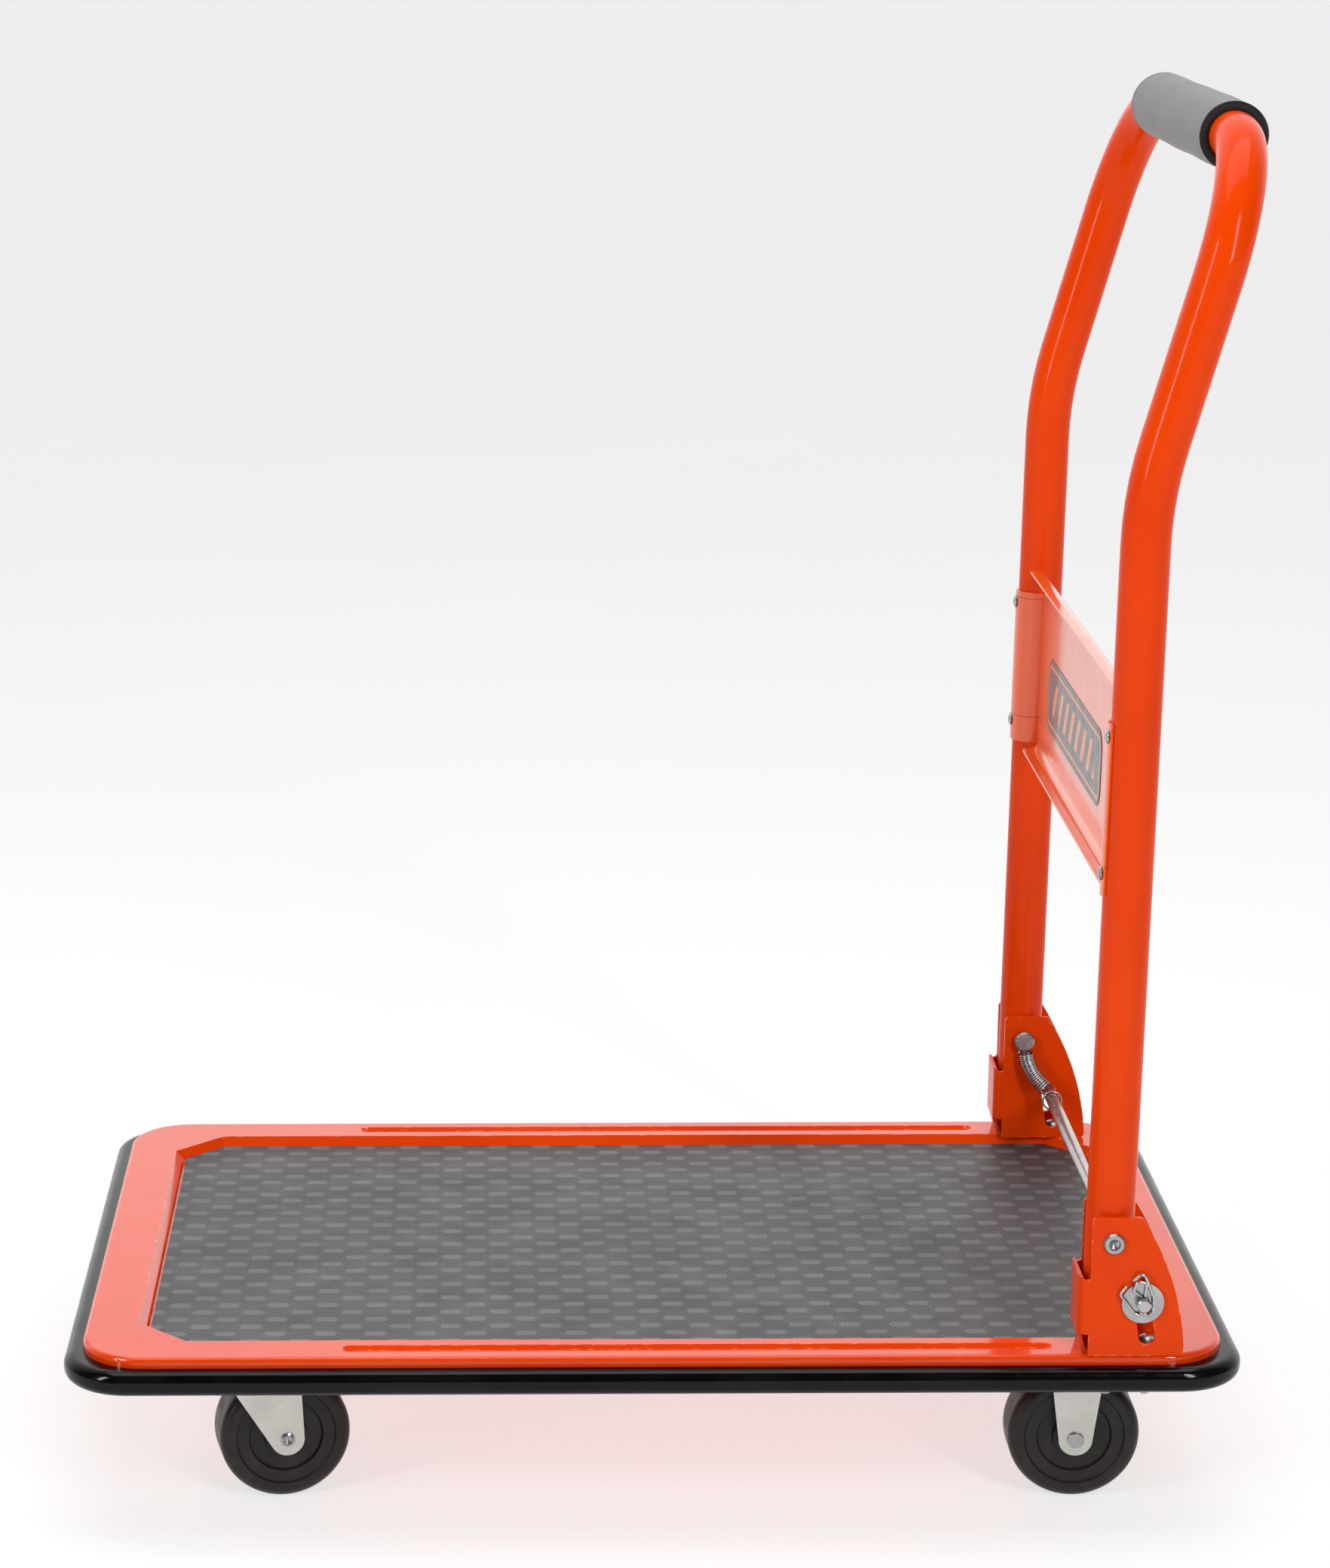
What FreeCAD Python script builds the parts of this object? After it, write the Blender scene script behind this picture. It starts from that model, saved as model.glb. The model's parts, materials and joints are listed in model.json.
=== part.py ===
"""Folding platform cart: a pressed steel deck on two rigid and two swivel casters, with a tubular push
handle that folds down flat over the deck. Millimetres. The origin is on the floor under the deck's centre,
+X points to the handle end, +Y to the pusher's right when facing the deck's free end, and +Z is up."""

import FreeCAD, Part
import math
import os
import re
import Sketcher

V = FreeCAD.Vector
X_AXIS, Y_AXIS, Z_AXIS = V(1, 0, 0), V(0, 1, 0), V(0, 0, 1)

SIZES = [
    # deck pan and its sunken bed
    ("deck_length", 717), ("deck_width", 459), ("deck_height", 115), ("deck_corner", 41), ("deck_gauge", 2),
    ("skirt_depth", 19), ("rim_round", 3), ("side_rim", 36.5), ("end_rim", 35.5), ("bed_depth", 7),
    ("bed_slope", 6), ("bed_cut", 26), ("bed_shift", 3.5), ("groove_ends", 272), ("groove_width", 11),
    ("groove_depth", 2.5), ("groove_taper", 45), ("groove_inset", 16.5), ("groove_shift", 27.5),
    ("mat_gauge", 2), ("mat_gap", 1.5),
    # edge bumper
    ("bumper_side", 10.5), ("bumper_end", 11.5), ("bumper_height", 16.1), ("bumper_lip", 3.2),
    ("bumper_tuck", 5), ("bumper_round", 7), ("bumper_corner", 42), ("bumper_fit", 0.2),
    # cross members under the bed
    ("member_gauge", 2), ("member_width", 104), ("member_overhang", 9), ("member_flange", 9),
    # hinge brackets
    ("pivot_inset", 75.9), ("post_inset", 19.1), ("post_play", 2.2), ("web_play", 2.6), ("bracket_gauge", 2.5),
    ("bracket_rise", 16.8), ("bracket_front", 46), ("bracket_top", 17), ("bracket_curve", 180),
    ("bracket_round", 3), ("bend_radius", 6.5), ("notch_radius", 2.2), ("web_low", 14), ("web_high", 51.5),
    ("web_lean", 4), ("slot_drop", 38.5), ("slot_offset", 19.1), ("slot_angle", 8.8), ("slot_play", 0.6),
    ("rod_travel", 23), ("rod_low", 12.8), ("slot_spare", 0.3), ("bracket_bolt_front", 26),
    ("bracket_bolt_back", 1.5),
    # handle
    ("tube_diameter", 30), ("tube_wall", 1.5), ("handle_lean", 0.6), ("kink_rise", 463), ("kink_angle", 15),
    ("kink_radius", 240), ("bar_rise", 665), ("corner_radius", 80), ("lock_gap", 1.3), ("grip_inset", 3.4),
    ("grip_wall", 6), ("soft_gap", 0.3),
    # brace panel and its badge
    ("panel_gauge", 1.5), ("panel_low", 214), ("panel_high", 342), ("panel_inset", 9.4), ("tab_overlap", 4),
    ("lip_depth", 11), ("lip_radius", 8), ("tab_low", 218), ("tab_high", 324.5), ("tab_wrap", 20),
    ("tab_fit", 0.3), ("rivet_low", 231.4), ("rivet_high", 316), ("rivet_hole", 4.2), ("rivet_shank", 4),
    ("rivet_head", 9), ("rivet_dome", 2), ("rivet_rim", 0.5), ("rivet_tail", 2.4), ("rivet_flare", 0.9),
    ("badge_length", 239), ("badge_height", 50), ("badge_rise", 265), ("badge_shift", 30), ("badge_gauge", 0.4),
    ("badge_corner", 14),
    # pivot rivets, release rod and what is on it
    ("pin_diameter", 10), ("pin_clearance", 0.05), ("turn_gap", 0.3), ("pin_head", 14),
    ("pin_head_height", 4.2), ("pin_neck", 2.6), ("pin_end", 13.6), ("pin_end_height", 2.6), ("pin_cup", 6.4), ("pin_edge", 1),
    ("rod_diameter", 9), ("rod_overhang", 8.4), ("rod_chamfer", 0.8), ("washer_diameter", 26.2),
    ("washer_gauge", 1.6), ("washer_gap", 0.3), ("washer_fit", 0.1), ("wire_diameter", 2), ("pin_hole", 4.8),
    ("coil_diameter", 9.4), ("coil_gap", 1), ("ring_diameter", 12.6), ("spring_wire", 1.3),
    # fasteners
    ("bolt_diameter", 6), ("bolt_clearance", 0.2), ("bolt_length", 35), ("thread_chamfer", 0.6),
    ("dome_diameter", 14), ("dome_height", 4.2), ("dome_rim", 0.6), ("nut_flats", 10), ("nut_height", 5),
    ("nut_clearance", 0.05), ("stud_length", 11),
    # casters
    ("wheel_diameter", 84), ("wheel_width", 35), ("wheel_inset", 61.5), ("rigid_inset", 88.5),
    ("swivel_inset", 98.5), ("swivel_trail", 25), ("swivel_yaw", 12), ("fork_play", 2.5), ("fork_gauge", 2.5),
    ("fork_end", 10.8), ("fork_flare", 0.135), ("fork_lead", 17), ("fork_trail", 33.5),
    ("plate_length", 92), ("plate_width", 64), ("plate_gauge", 2.5), ("plate_corner", 5),
    ("stud_spacing_x", 72), ("stud_spacing_y", 44), ("crown_gap", 10), ("crown_gauge", 2.5),
    ("crown_corner", 3), ("race_outer", 27), ("race_inner", 14), ("race_gap", 1.6), ("ball_diameter", 6),
    ("ball_play", 0.15), ("ball_circle", 20), ("ball_count", 14), ("king_diameter", 10), ("king_head", 16),
    ("king_head_height", 2.2), ("king_inset", 0.2), ("king_edge", 0.8), ("axle_diameter", 8), ("axle_head", 10.4),
    ("axle_head_height", 1.8), ("axle_end_height", 1.3), ("axle_edge", 0.5), ("axle_cup", 5.4), ("bush_diameter", 12), ("bush_play", 0.5),
    ("hub_diameter", 27), ("hub_rise", 0.4), ("hub_draft", 0.6), ("ring_draft", 1), ("web_ring", 46), ("web_step", 2), ("band_ring", 64.5),
    ("band_step", 1.4), ("tread_round", 7),
]

# Sizes and places that follow from the driving ones, so that what fits together stays together.
FITS = {
    "bed_length": "deck_length - 2 * end_rim",
    "bed_width": "deck_width - 2 * side_rim",
    "groove_length": "deck_length - groove_ends",
    "member_length": "bed_width + 2 * member_overhang",
    "pivot_x": "deck_length / 2 - pivot_inset",
    "post_spacing": "deck_width - 2 * post_inset",
    "bracket_width": "tube_diameter + 2 * (bracket_gauge + post_play)",
    "bracket_back": "tube_diameter / 2 + web_play + bracket_gauge - bend_radius",
    "pivot_rise": "slot_drop + rod_travel * cos(slot_angle) + rod_low",
    "bracket_height": "pivot_rise + bracket_rise",
    "slot_width": "rod_diameter + 2 * slot_play",
    "tube_end_radius": "sqrt(slot_offset * slot_offset + slot_drop * slot_drop) - rod_diameter / 2 - lock_gap",
    "grip_length": "post_spacing - 2 * (corner_radius + grip_inset)",
    "panel_half": "post_spacing / 2 - tube_diameter / 2 - panel_inset",
    "wheel_y": "deck_width / 2 - wheel_inset",
    "rigid_x": "deck_length / 2 - rigid_inset",
    "swivel_x": "swivel_inset - deck_length / 2",
    "fork_gap": "wheel_width / 2 + fork_play",
    "member_top": "deck_height - bed_depth - deck_gauge",
    "plate_top": "member_top - member_gauge",
    "axle_rise": "wheel_diameter / 2",
    "race_top": "plate_top - plate_gauge",
    "ball_centre": "race_top - crown_gap / 2",
    "crown_top": "race_top - crown_gap",
}

doc = FreeCAD.newDocument("platform_cart")
sheet = doc.addObject("Spreadsheet::Sheet", "Sizes")
for row, (alias, value) in enumerate(SIZES, start=1):
    sheet.set(f"A{row}", alias)
    sheet.set(f"B{row}", str(value))
    sheet.setAlias(f"B{row}", alias)
doc.recompute()
driving = {alias for alias, _ in SIZES}
nodes = {}


# ---------------------------------------------------------------- helpers

def cells(expression):
    """The expression with each size name turned into a cell of the sheet, or into the fit it stands for."""
    def cell(word):
        if word[0] in FITS:
            return f"({cells(FITS[word[0]])})"
        return f"Sizes.{word[0]}" if word[0] in driving else word[0]
    return re.sub(r"[a-z_]+", cell, expression)


def number(expression):
    return float(sheet.evalExpression(cells(expression)))


s = {name: number(name) for name in [*driving, *FITS]}


def new_body(name):
    body = doc.addObject("PartDesign::Body", name)
    body.Label = name
    return body


def new_sketch(body, plane, rise="0"):
    """A sketch on one of the body's own origin planes, moved along the plane's normal by rise."""
    sketch = body.newObject("Sketcher::SketchObject", f"{body.Name}_sketch")
    support = next(f for f in body.Origin.OriginFeatures if f.Role == plane)
    sketch.AttachmentSupport = [(support, "")]
    sketch.MapMode = "FlatFace"
    sketch.setExpression("AttachmentOffset.Base.z", cells(rise))
    return sketch


def fix(sketch, kind, expression, *refs):
    index = sketch.addConstraint(Sketcher.Constraint(kind, *refs, number(expression)))
    sketch.setExpression(f"Constraints[{index}]", cells(expression))


def outline(sketch, points, arcs=None):
    """A closed outline through the points, each a pair of expressions. arcs maps a side's number to its
    radius, or None for a half circle, and +1 or -1 for which way it bulges (+1 is right of its direction)."""
    arcs = arcs or {}
    places = [V(number(x), number(y), 0) for x, y in points]
    ends = []
    for i, start in enumerate(places):
        end = places[(i + 1) % len(places)]
        if i in arcs:
            bulge, half = arcs[i][1], (end - start).Length / 2
            radius = number(arcs[i][0]) if arcs[i][0] else half
            normal = V(end.y - start.y, start.x - end.x, 0) / (2 * half) * bulge
            rise = radius - math.sqrt(max(radius ** 2 - half ** 2, 0))
            edge = Part.Arc(start, (start + end) / 2 + normal * rise, end)
        else:
            edge = Part.LineSegment(start, end)
        side = sketch.addGeometry(edge, False)
        first = 1 if sketch.getPoint(side, 1).distanceToPoint(start) < 1e-6 else 2
        ends.append((side, first, 3 - first))
    for i, (side, first, last) in enumerate(ends):
        after, after_first, _ = ends[(i + 1) % len(ends)]
        sketch.addConstraint(Sketcher.Constraint("Coincident", side, last, after, after_first))
        fix(sketch, "DistanceX", points[i][0], -1, 1, side, first)
        fix(sketch, "DistanceY", points[i][1], -1, 1, side, first)
        if i in arcs and arcs[i][0]:
            fix(sketch, "Radius", arcs[i][0], side)
        elif i in arcs:
            across = abs(places[i].x - places[(i + 1) % len(places)].x)
            up = abs(places[i].y - places[(i + 1) % len(places)].y)
            kind, part = ("DistanceX", 0) if up > across else ("DistanceY", 1)
            middle = f"(({points[i][part]}) + ({points[(i + 1) % len(points)][part]})) / 2"
            fix(sketch, kind, middle, -1, 1, side, 3)


def circle(sketch, x, y, radius):
    side = sketch.addGeometry(Part.Circle(V(number(x), number(y), 0), Z_AXIS, number(radius)), False)
    fix(sketch, "DistanceX", x, -1, 1, side, 3)
    fix(sketch, "DistanceY", y, -1, 1, side, 3)
    fix(sketch, "Radius", radius, side)


def rounded_box(sketch, half_x, half_y, radius, x="0"):
    """A rectangle with round corners, centred on (x, 0)."""
    low, high = f"{x} - ({half_x})", f"{x} + ({half_x})"
    points = [
        (f"{low} + {radius}", f"0 - ({half_y})"), (f"{high} - {radius}", f"0 - ({half_y})"),
        (high, f"{radius} - ({half_y})"), (high, f"({half_y}) - {radius}"),
        (f"{high} - {radius}", half_y), (f"{low} + {radius}", half_y),
        (low, f"({half_y}) - {radius}"), (low, f"{radius} - ({half_y})"),
    ]
    outline(sketch, points, {i: (radius, 1) for i in (1, 3, 5, 7)})


def cut_box(sketch, half_x, half_y, cut, x="0"):
    """A rectangle with its corners cut off at 45 degrees, centred on (x, 0)."""
    low, high = f"{x} - ({half_x})", f"{x} + ({half_x})"
    outline(sketch, [
        (f"{low} + {cut}", f"0 - ({half_y})"), (f"{high} - {cut}", f"0 - ({half_y})"),
        (high, f"{cut} - ({half_y})"), (high, f"({half_y}) - {cut}"),
        (f"{high} - {cut}", half_y), (f"{low} + {cut}", half_y),
        (low, f"({half_y}) - {cut}"), (low, f"{cut} - ({half_y})"),
    ])


def volume(body):
    return body.Shape.Volume if not body.Shape.isNull() else 0.0


def pad(body, sketch, length, centred=False, backwards=False, kind="PartDesign::Pad"):
    """A pad, or a pocket, of the sketch. It has to change the body's volume the way its kind says."""
    before = volume(body)
    feature = body.newObject(kind, f"{body.Name}_{kind.split('::')[1].lower()}")
    feature.Profile = sketch
    feature.setExpression("Length", cells(length))
    if centred:
        feature.SideType = "Symmetric"
    feature.Reversed = backwards
    doc.recompute()
    gained = volume(body) - before
    if (gained <= 0) == (kind == "PartDesign::Pad"):
        raise ValueError(f"{feature.Name} changes nothing, or the wrong way")
    return feature


def pocket(body, sketch, length, centred=False, backwards=False):
    return pad(body, sketch, length, centred, backwards, "PartDesign::Pocket")


def round_edges(body, wanted, radius):
    """Rounds the edges that wanted(edge) picks."""
    doc.recompute()
    names = [f"Edge{i}" for i, e in enumerate(body.Shape.Edges, start=1) if wanted(e)]
    last = body.Tip
    feature = body.newObject("PartDesign::Fillet", f"{body.Name}_round")
    feature.Base = (last, names)
    feature.setExpression("Radius", cells(radius))
    doc.recompute()
    return feature


def dome(radius, height):
    """The radius of the sphere whose cap has this radius and height."""
    return f"((({radius}) * ({radius}) + ({height}) * ({height})) / (2 * ({height})))"


def at_height(z):
    return lambda e: abs(e.BoundBox.ZMin - z) < 1e-4 and abs(e.BoundBox.ZMax - z) < 1e-4


def turned(name, profile, arcs=None):
    """A body turned about its own Z axis from a closed profile of (radius, height) expressions."""
    body = new_body(name)
    sketch = new_sketch(body, "XZ_Plane")
    outline(sketch, profile, arcs)
    feature = body.newObject("PartDesign::Revolution", f"{name}_turn")
    feature.Profile = sketch
    feature.ReferenceAxis = (sketch, ["V_Axis"])
    feature.Angle = 360
    doc.recompute()
    return body


def place(base, axis=Z_AXIS, angle=0):
    return FreeCAD.Placement(base, FreeCAD.Rotation(axis, angle))


def group(name, master, placements):
    """One node that holds a copy of the master's shape at each placement."""
    node = doc.addObject("Part::Feature", name)
    copies = []
    for placement in placements:
        copy = master.Shape.copy()
        copy.Placement = placement.multiply(master.Placement)
        copies.append(copy)
    node.Shape = Part.makeCompound(copies) if len(copies) > 1 else copies[0]
    return keep(node, name)


def keep(part, name):
    """Makes the object a sub-part of the cart."""
    part.Label = name
    nodes[name] = part
    return part


def feature(name, shape, placement=None):
    """A sub-part whose shape is worked out from the sheet in code."""
    part = doc.addObject("Part::Feature", name)
    part.Shape = shape
    if placement is not None:
        part.Placement = placement
    return keep(part, name)


def tube_path(points, radii):
    """A wire of straight runs joined by tangent arcs of the given radii at its inner points."""
    edges, last = [], points[0]
    for before, corner, after, radius in zip(points, points[1:], points[2:], radii):
        inward, outward = (before - corner).normalize(), (after - corner).normalize()
        angle = math.acos(max(-1, min(1, inward.dot(outward))))
        reach = radius / math.tan(angle / 2)
        start, end = corner + inward * reach, corner + outward * reach
        middle = (inward + outward).normalize()
        mid = corner + middle * (radius / math.sin(angle / 2) - radius)
        if last.distanceToPoint(start) > 1e-6:
            edges.append(Part.LineSegment(last, start).toShape())
        edges.append(Part.Arc(start, mid, end).toShape())
        last = end
    if last.distanceToPoint(points[-1]) > 1e-6:
        edges.append(Part.LineSegment(last, points[-1]).toShape())
    return Part.Wire(edges)


def swept(path, radius):
    """A round bar along the path."""
    first = path.OrderedEdges[0]
    start, direction = first.valueAt(first.FirstParameter), first.tangentAt(first.FirstParameter)
    section = Part.Wire(Part.makeCircle(radius, start, direction))
    bar = path.makePipeShell([section], True, False)
    return bar if bar.isValid() and bar.ShapeType == "Solid" else Part.Solid(bar)


# ---------------------------------------------------------------- where things are

deck_top = s["deck_height"]
pivot_z = deck_top + s["pivot_rise"]
post_y = s["post_spacing"] / 2
outer_face = post_y + s["bracket_width"] / 2
inner_face = post_y - s["bracket_width"] / 2
rod_x, rod_z = s["pivot_x"] + s["slot_offset"], pivot_z - s["slot_drop"]
slot_way = V(math.sin(math.radians(s["slot_angle"])), 0, -math.cos(math.radians(s["slot_angle"])))
handle_frame = place(V(s["pivot_x"], 0, pivot_z), Y_AXIS, s["handle_lean"])
SIDES = (("left", -1), ("right", 1))


# ---------------------------------------------------------------- deck, mat, bumper and cross members

def bracket_bolt_places():
    """Where the brackets are bolted through the rim, on the deck's top plane."""
    xs = (s["pivot_x"] + s["bracket_bolt_back"], s["pivot_x"] + s["bracket_bolt_front"])
    return [V(x, side * post_y, deck_top) for _, side in SIDES for x in xs]


def stud_places(x):
    """Where a caster plate at x is held, on the plates' top plane."""
    half_x, half_y = s["stud_spacing_x"] / 2, s["stud_spacing_y"] / 2
    return [V(x + i * half_x, side * s["wheel_y"] + j * half_y, s["plate_top"])
            for _, side in SIDES for i in (-1, 1) for j in (-1, 1)]


def make_deck():
    body = new_body("deck_pan")
    half_x, half_y = "deck_length / 2", "deck_width / 2"
    base = "deck_height - skirt_depth"
    sketch = new_sketch(body, "XY_Plane", base)
    rounded_box(sketch, half_x, half_y, "deck_corner")
    pad(body, sketch, "skirt_depth")
    round_edges(body, at_height(deck_top), "rim_round")
    inner = new_sketch(body, "XY_Plane", base)
    rounded_box(inner, f"{half_x} - deck_gauge", f"{half_y} - deck_gauge", "(deck_corner - deck_gauge)")
    pocket(body, inner, "skirt_depth - deck_gauge", backwards=True)
    tray = new_sketch(body, "XY_Plane", "member_top")
    cut_box(tray, "bed_length / 2 + deck_gauge", "bed_width / 2 + deck_gauge", "bed_cut", "bed_shift")
    brim = new_sketch(body, "XY_Plane", "deck_height - deck_gauge")
    grown = "bed_slope + deck_gauge"
    wide_cut = "(bed_cut + bed_slope)"
    cut_box(brim, f"bed_length / 2 + {grown}", f"bed_width / 2 + {grown}", wide_cut, "bed_shift")
    boss = body.newObject("PartDesign::AdditiveLoft", "bed_boss")
    boss.Profile, boss.Sections = tray, [brim]
    doc.recompute()
    floor = new_sketch(body, "XY_Plane", "deck_height - bed_depth")
    cut_box(floor, "bed_length / 2", "bed_width / 2", "bed_cut", "bed_shift")
    mouth = new_sketch(body, "XY_Plane", "deck_height")
    cut_box(mouth, "bed_length / 2 + bed_slope", "bed_width / 2 + bed_slope", wide_cut, "bed_shift")
    bed = body.newObject("PartDesign::SubtractiveLoft", "bed_cut_out")
    bed.Profile, bed.Sections = floor, [mouth]
    doc.recompute()
    for _, side in SIDES:
        sign = "" if side > 0 else "0 - "
        middle = f"{sign}(deck_width / 2 - groove_inset)"
        press_groove(body, middle, "groove_depth + deck_gauge", "deck_gauge", True)
        press_groove(body, middle, "groove_depth", "0", False)
    holes = new_sketch(body, "XY_Plane", "deck_height")
    for x in ("bracket_bolt_back", "bracket_bolt_front"):
        for sign in ("", "0 - "):
            circle(holes, f"pivot_x + {x}", f"{sign}(post_spacing / 2)", "bolt_diameter / 2 + bolt_clearance")
    pocket(body, holes, "deck_gauge * 2")
    return keep(body, "deck_pan")


def press_groove(body, middle, depth, extra, adds):
    """A long round-ended groove pressed into a side rim: first the sheet bulged under it, then its hollow."""
    start = "deck_height - deck_gauge / 2" if adds else "deck_height"
    length = f"{depth} - deck_gauge / 2" if adds else depth
    sketch = new_sketch(body, "XY_Plane", start)
    half_y = f"(groove_width / 2 + {extra})"
    reach = f"(groove_length / 2 - {half_y})"
    back, front = f"groove_shift - {reach}", f"groove_shift + {reach}"
    low, high = f"({middle}) - {half_y}", f"({middle}) + {half_y}"
    outline(sketch, [(back, low), (front, low), (front, high), (back, high)], {1: (None, 1), 3: (None, 1)})
    made = pad(body, sketch, length, backwards=adds, kind="PartDesign::Pad" if adds else "PartDesign::Pocket")
    if not adds:
        made.setExpression("TaperAngle", "-Sizes.groove_taper")
        doc.recompute()


def make_mat():
    body = new_body("anti_slip_mat")
    sketch = new_sketch(body, "XY_Plane", "deck_height - bed_depth")
    cut_box(sketch, "bed_length / 2 - mat_gap", "bed_width / 2 - mat_gap", "bed_cut", "bed_shift")
    pad(body, sketch, "mat_gauge")
    return keep(body, "anti_slip_mat")


def make_bumper():
    body = new_body("edge_bumper")
    half_x, half_y = "deck_length / 2", "deck_width / 2"
    low = "deck_height - skirt_depth - bumper_fit - bumper_lip"
    sketch = new_sketch(body, "XY_Plane", low)
    rounded_box(sketch, f"{half_x} + bumper_end", f"{half_y} + bumper_side", "bumper_corner")
    pad(body, sketch, "bumper_height")
    bottom = number(low)
    top = bottom + s["bumper_height"]
    round_edges(body, lambda e: at_height(top)(e) or at_height(bottom)(e), "bumper_round")
    through = new_sketch(body, "XY_Plane", low)
    tuck = "(deck_gauge + bumper_tuck)"
    rounded_box(through, f"{half_x} - {tuck}", f"{half_y} - {tuck}", f"(deck_corner - {tuck})")
    pocket(body, through, "bumper_height", backwards=True)
    seat = new_sketch(body, "XY_Plane", f"{low} + bumper_lip")
    rounded_box(seat, f"{half_x} + bumper_fit", f"{half_y} + bumper_fit", "(deck_corner + bumper_fit)")
    pocket(body, seat, "bumper_height", backwards=True)
    return keep(body, "edge_bumper")


def make_member(name, x):
    """A shallow channel welded under the bed, open downwards, that carries two casters."""
    body = new_body(name)
    sketch = new_sketch(body, "XZ_Plane")
    top = "member_top"
    half, web = "member_width / 2", "plate_top"
    low = f"{top} - member_flange"
    outline(sketch, [
        (f"{x} - {half}", low), (f"{x} - {half} + member_gauge", low), (f"{x} - {half} + member_gauge", web),
        (f"{x} + {half} - member_gauge", web), (f"{x} + {half} - member_gauge", low), (f"{x} + {half}", low),
        (f"{x} + {half}", top), (f"{x} - {half}", top),
    ])
    pad(body, sketch, "member_length", centred=True)
    return keep(body, name)


# ---------------------------------------------------------------- hinge brackets and pivot rivets

def make_bracket(name, side):
    """A folded channel: two cheeks with a slot, a web towards the deck, and a base bolted to the rim. Its own
    origin is on the deck's top plane under the pivot, midway between its cheeks."""
    body = new_body(name)
    half, gauge, bend = "bracket_width / 2", "bracket_gauge", "bend_radius"
    back = "0 - bracket_back"
    front_of_bend = "0 - bracket_back + bend_radius"
    fold = new_sketch(body, "XY_Plane", "web_low")
    outline(fold, [
        (front_of_bend, f"0 - {half}"), (back, f"0 - {half}"), (f"{back} - {bend}", f"{bend} - {half}"),
        (f"{back} - {bend}", f"{half} - {bend}"), (back, half), (front_of_bend, half),
        (front_of_bend, f"{half} - {gauge}"), (back, f"{half} - {gauge}"),
        (f"{back} - {bend} + {gauge}", f"{half} - {bend}"), (f"{back} - {bend} + {gauge}", f"{bend} - {half}"),
        (back, f"{gauge} - {half}"), (front_of_bend, f"{gauge} - {half}"),
    ], {1: (bend, -1), 3: (bend, -1), 7: (f"{bend} - {gauge}", 1), 9: (f"{bend} - {gauge}", 1)})
    pad(body, fold, "web_high - web_low")
    for rise in (f"{half} - {gauge}", f"0 - {half}"):
        cheek = new_sketch(body, "XZ_Plane", rise)
        outline(cheek, [
            (back, "0"), ("bracket_front - bracket_round", "0"), ("bracket_front", "bracket_round"),
            ("bracket_top", "bracket_height"), (f"{back} + bracket_round", "bracket_height"),
            (back, "bracket_height - bracket_round"),
        ], {1: ("bracket_round", 1), 2: ("bracket_curve", 1), 4: ("bracket_round", 1)})
        pad(body, cheek, gauge)
    web = new_sketch(body, "XZ_Plane")
    face = f"{back} - {bend}"
    outline(web, [
        (f"{face} + web_lean", "0"), (f"{face} + web_lean + {gauge}", "0"), (f"{face} + {gauge}", "web_low"),
        (f"{face} + {gauge}", "web_high"), (face, "web_high"), (face, "web_low"),
    ])
    pad(body, web, f"bracket_width - 2 * {bend}", centred=True)
    base = new_sketch(body, "XY_Plane")
    outline(base, [
        (back, f"0 - {half}"), ("bracket_front - bracket_round", f"0 - {half}"),
        ("bracket_front - bracket_round", half), (back, half),
    ])
    pad(body, base, gauge)
    round_edges(body, lambda e: all(abs(v.X - s["bracket_top"]) + abs(v.Z - s["bracket_height"]) < 1e-4
                                    for v in e.Vertexes), "bracket_round")
    pins = new_sketch(body, "XZ_Plane")
    circle(pins, "0", "pivot_rise", "pin_diameter / 2 + pin_clearance")
    circle(pins, "0 - bracket_back - notch_radius", "web_high", "notch_radius")
    pocket(body, pins, "bracket_width * 2", centred=True)
    slot = new_sketch(body, "XZ_Plane")
    cut_slot(slot)
    pocket(body, slot, "bracket_width * 2", centred=True)
    holes = new_sketch(body, "XY_Plane")
    for x in ("bracket_bolt_back", "bracket_bolt_front"):
        circle(holes, x, "0", "bolt_diameter / 2 + bolt_clearance")
    pocket(body, holes, f"{gauge} * 2", centred=True)
    body.Placement = place(V(s["pivot_x"], side * post_y, deck_top))
    return keep(body, name)


def cut_slot(sketch):
    """The release rod's slot, from its rest place down along the slot's own slope."""
    top_x, top_z = "slot_offset", "(pivot_rise - slot_drop)"
    run = "(rod_travel + slot_spare)"
    low_x, low_z = f"(slot_offset + {run} * sin(slot_angle))", f"({top_z} - {run} * cos(slot_angle))"
    side_x, side_z = "(slot_width / 2 * cos(slot_angle))", "(slot_width / 2 * sin(slot_angle))"
    outline(sketch, [
        (f"{top_x} + {side_x}", f"{top_z} + {side_z}"), (f"{top_x} - {side_x}", f"{top_z} - {side_z}"),
        (f"{low_x} - {side_x}", f"{low_z} - {side_z}"), (f"{low_x} + {side_x}", f"{low_z} + {side_z}"),
    ], {0: (None, 1), 2: (None, 1)})


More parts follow.
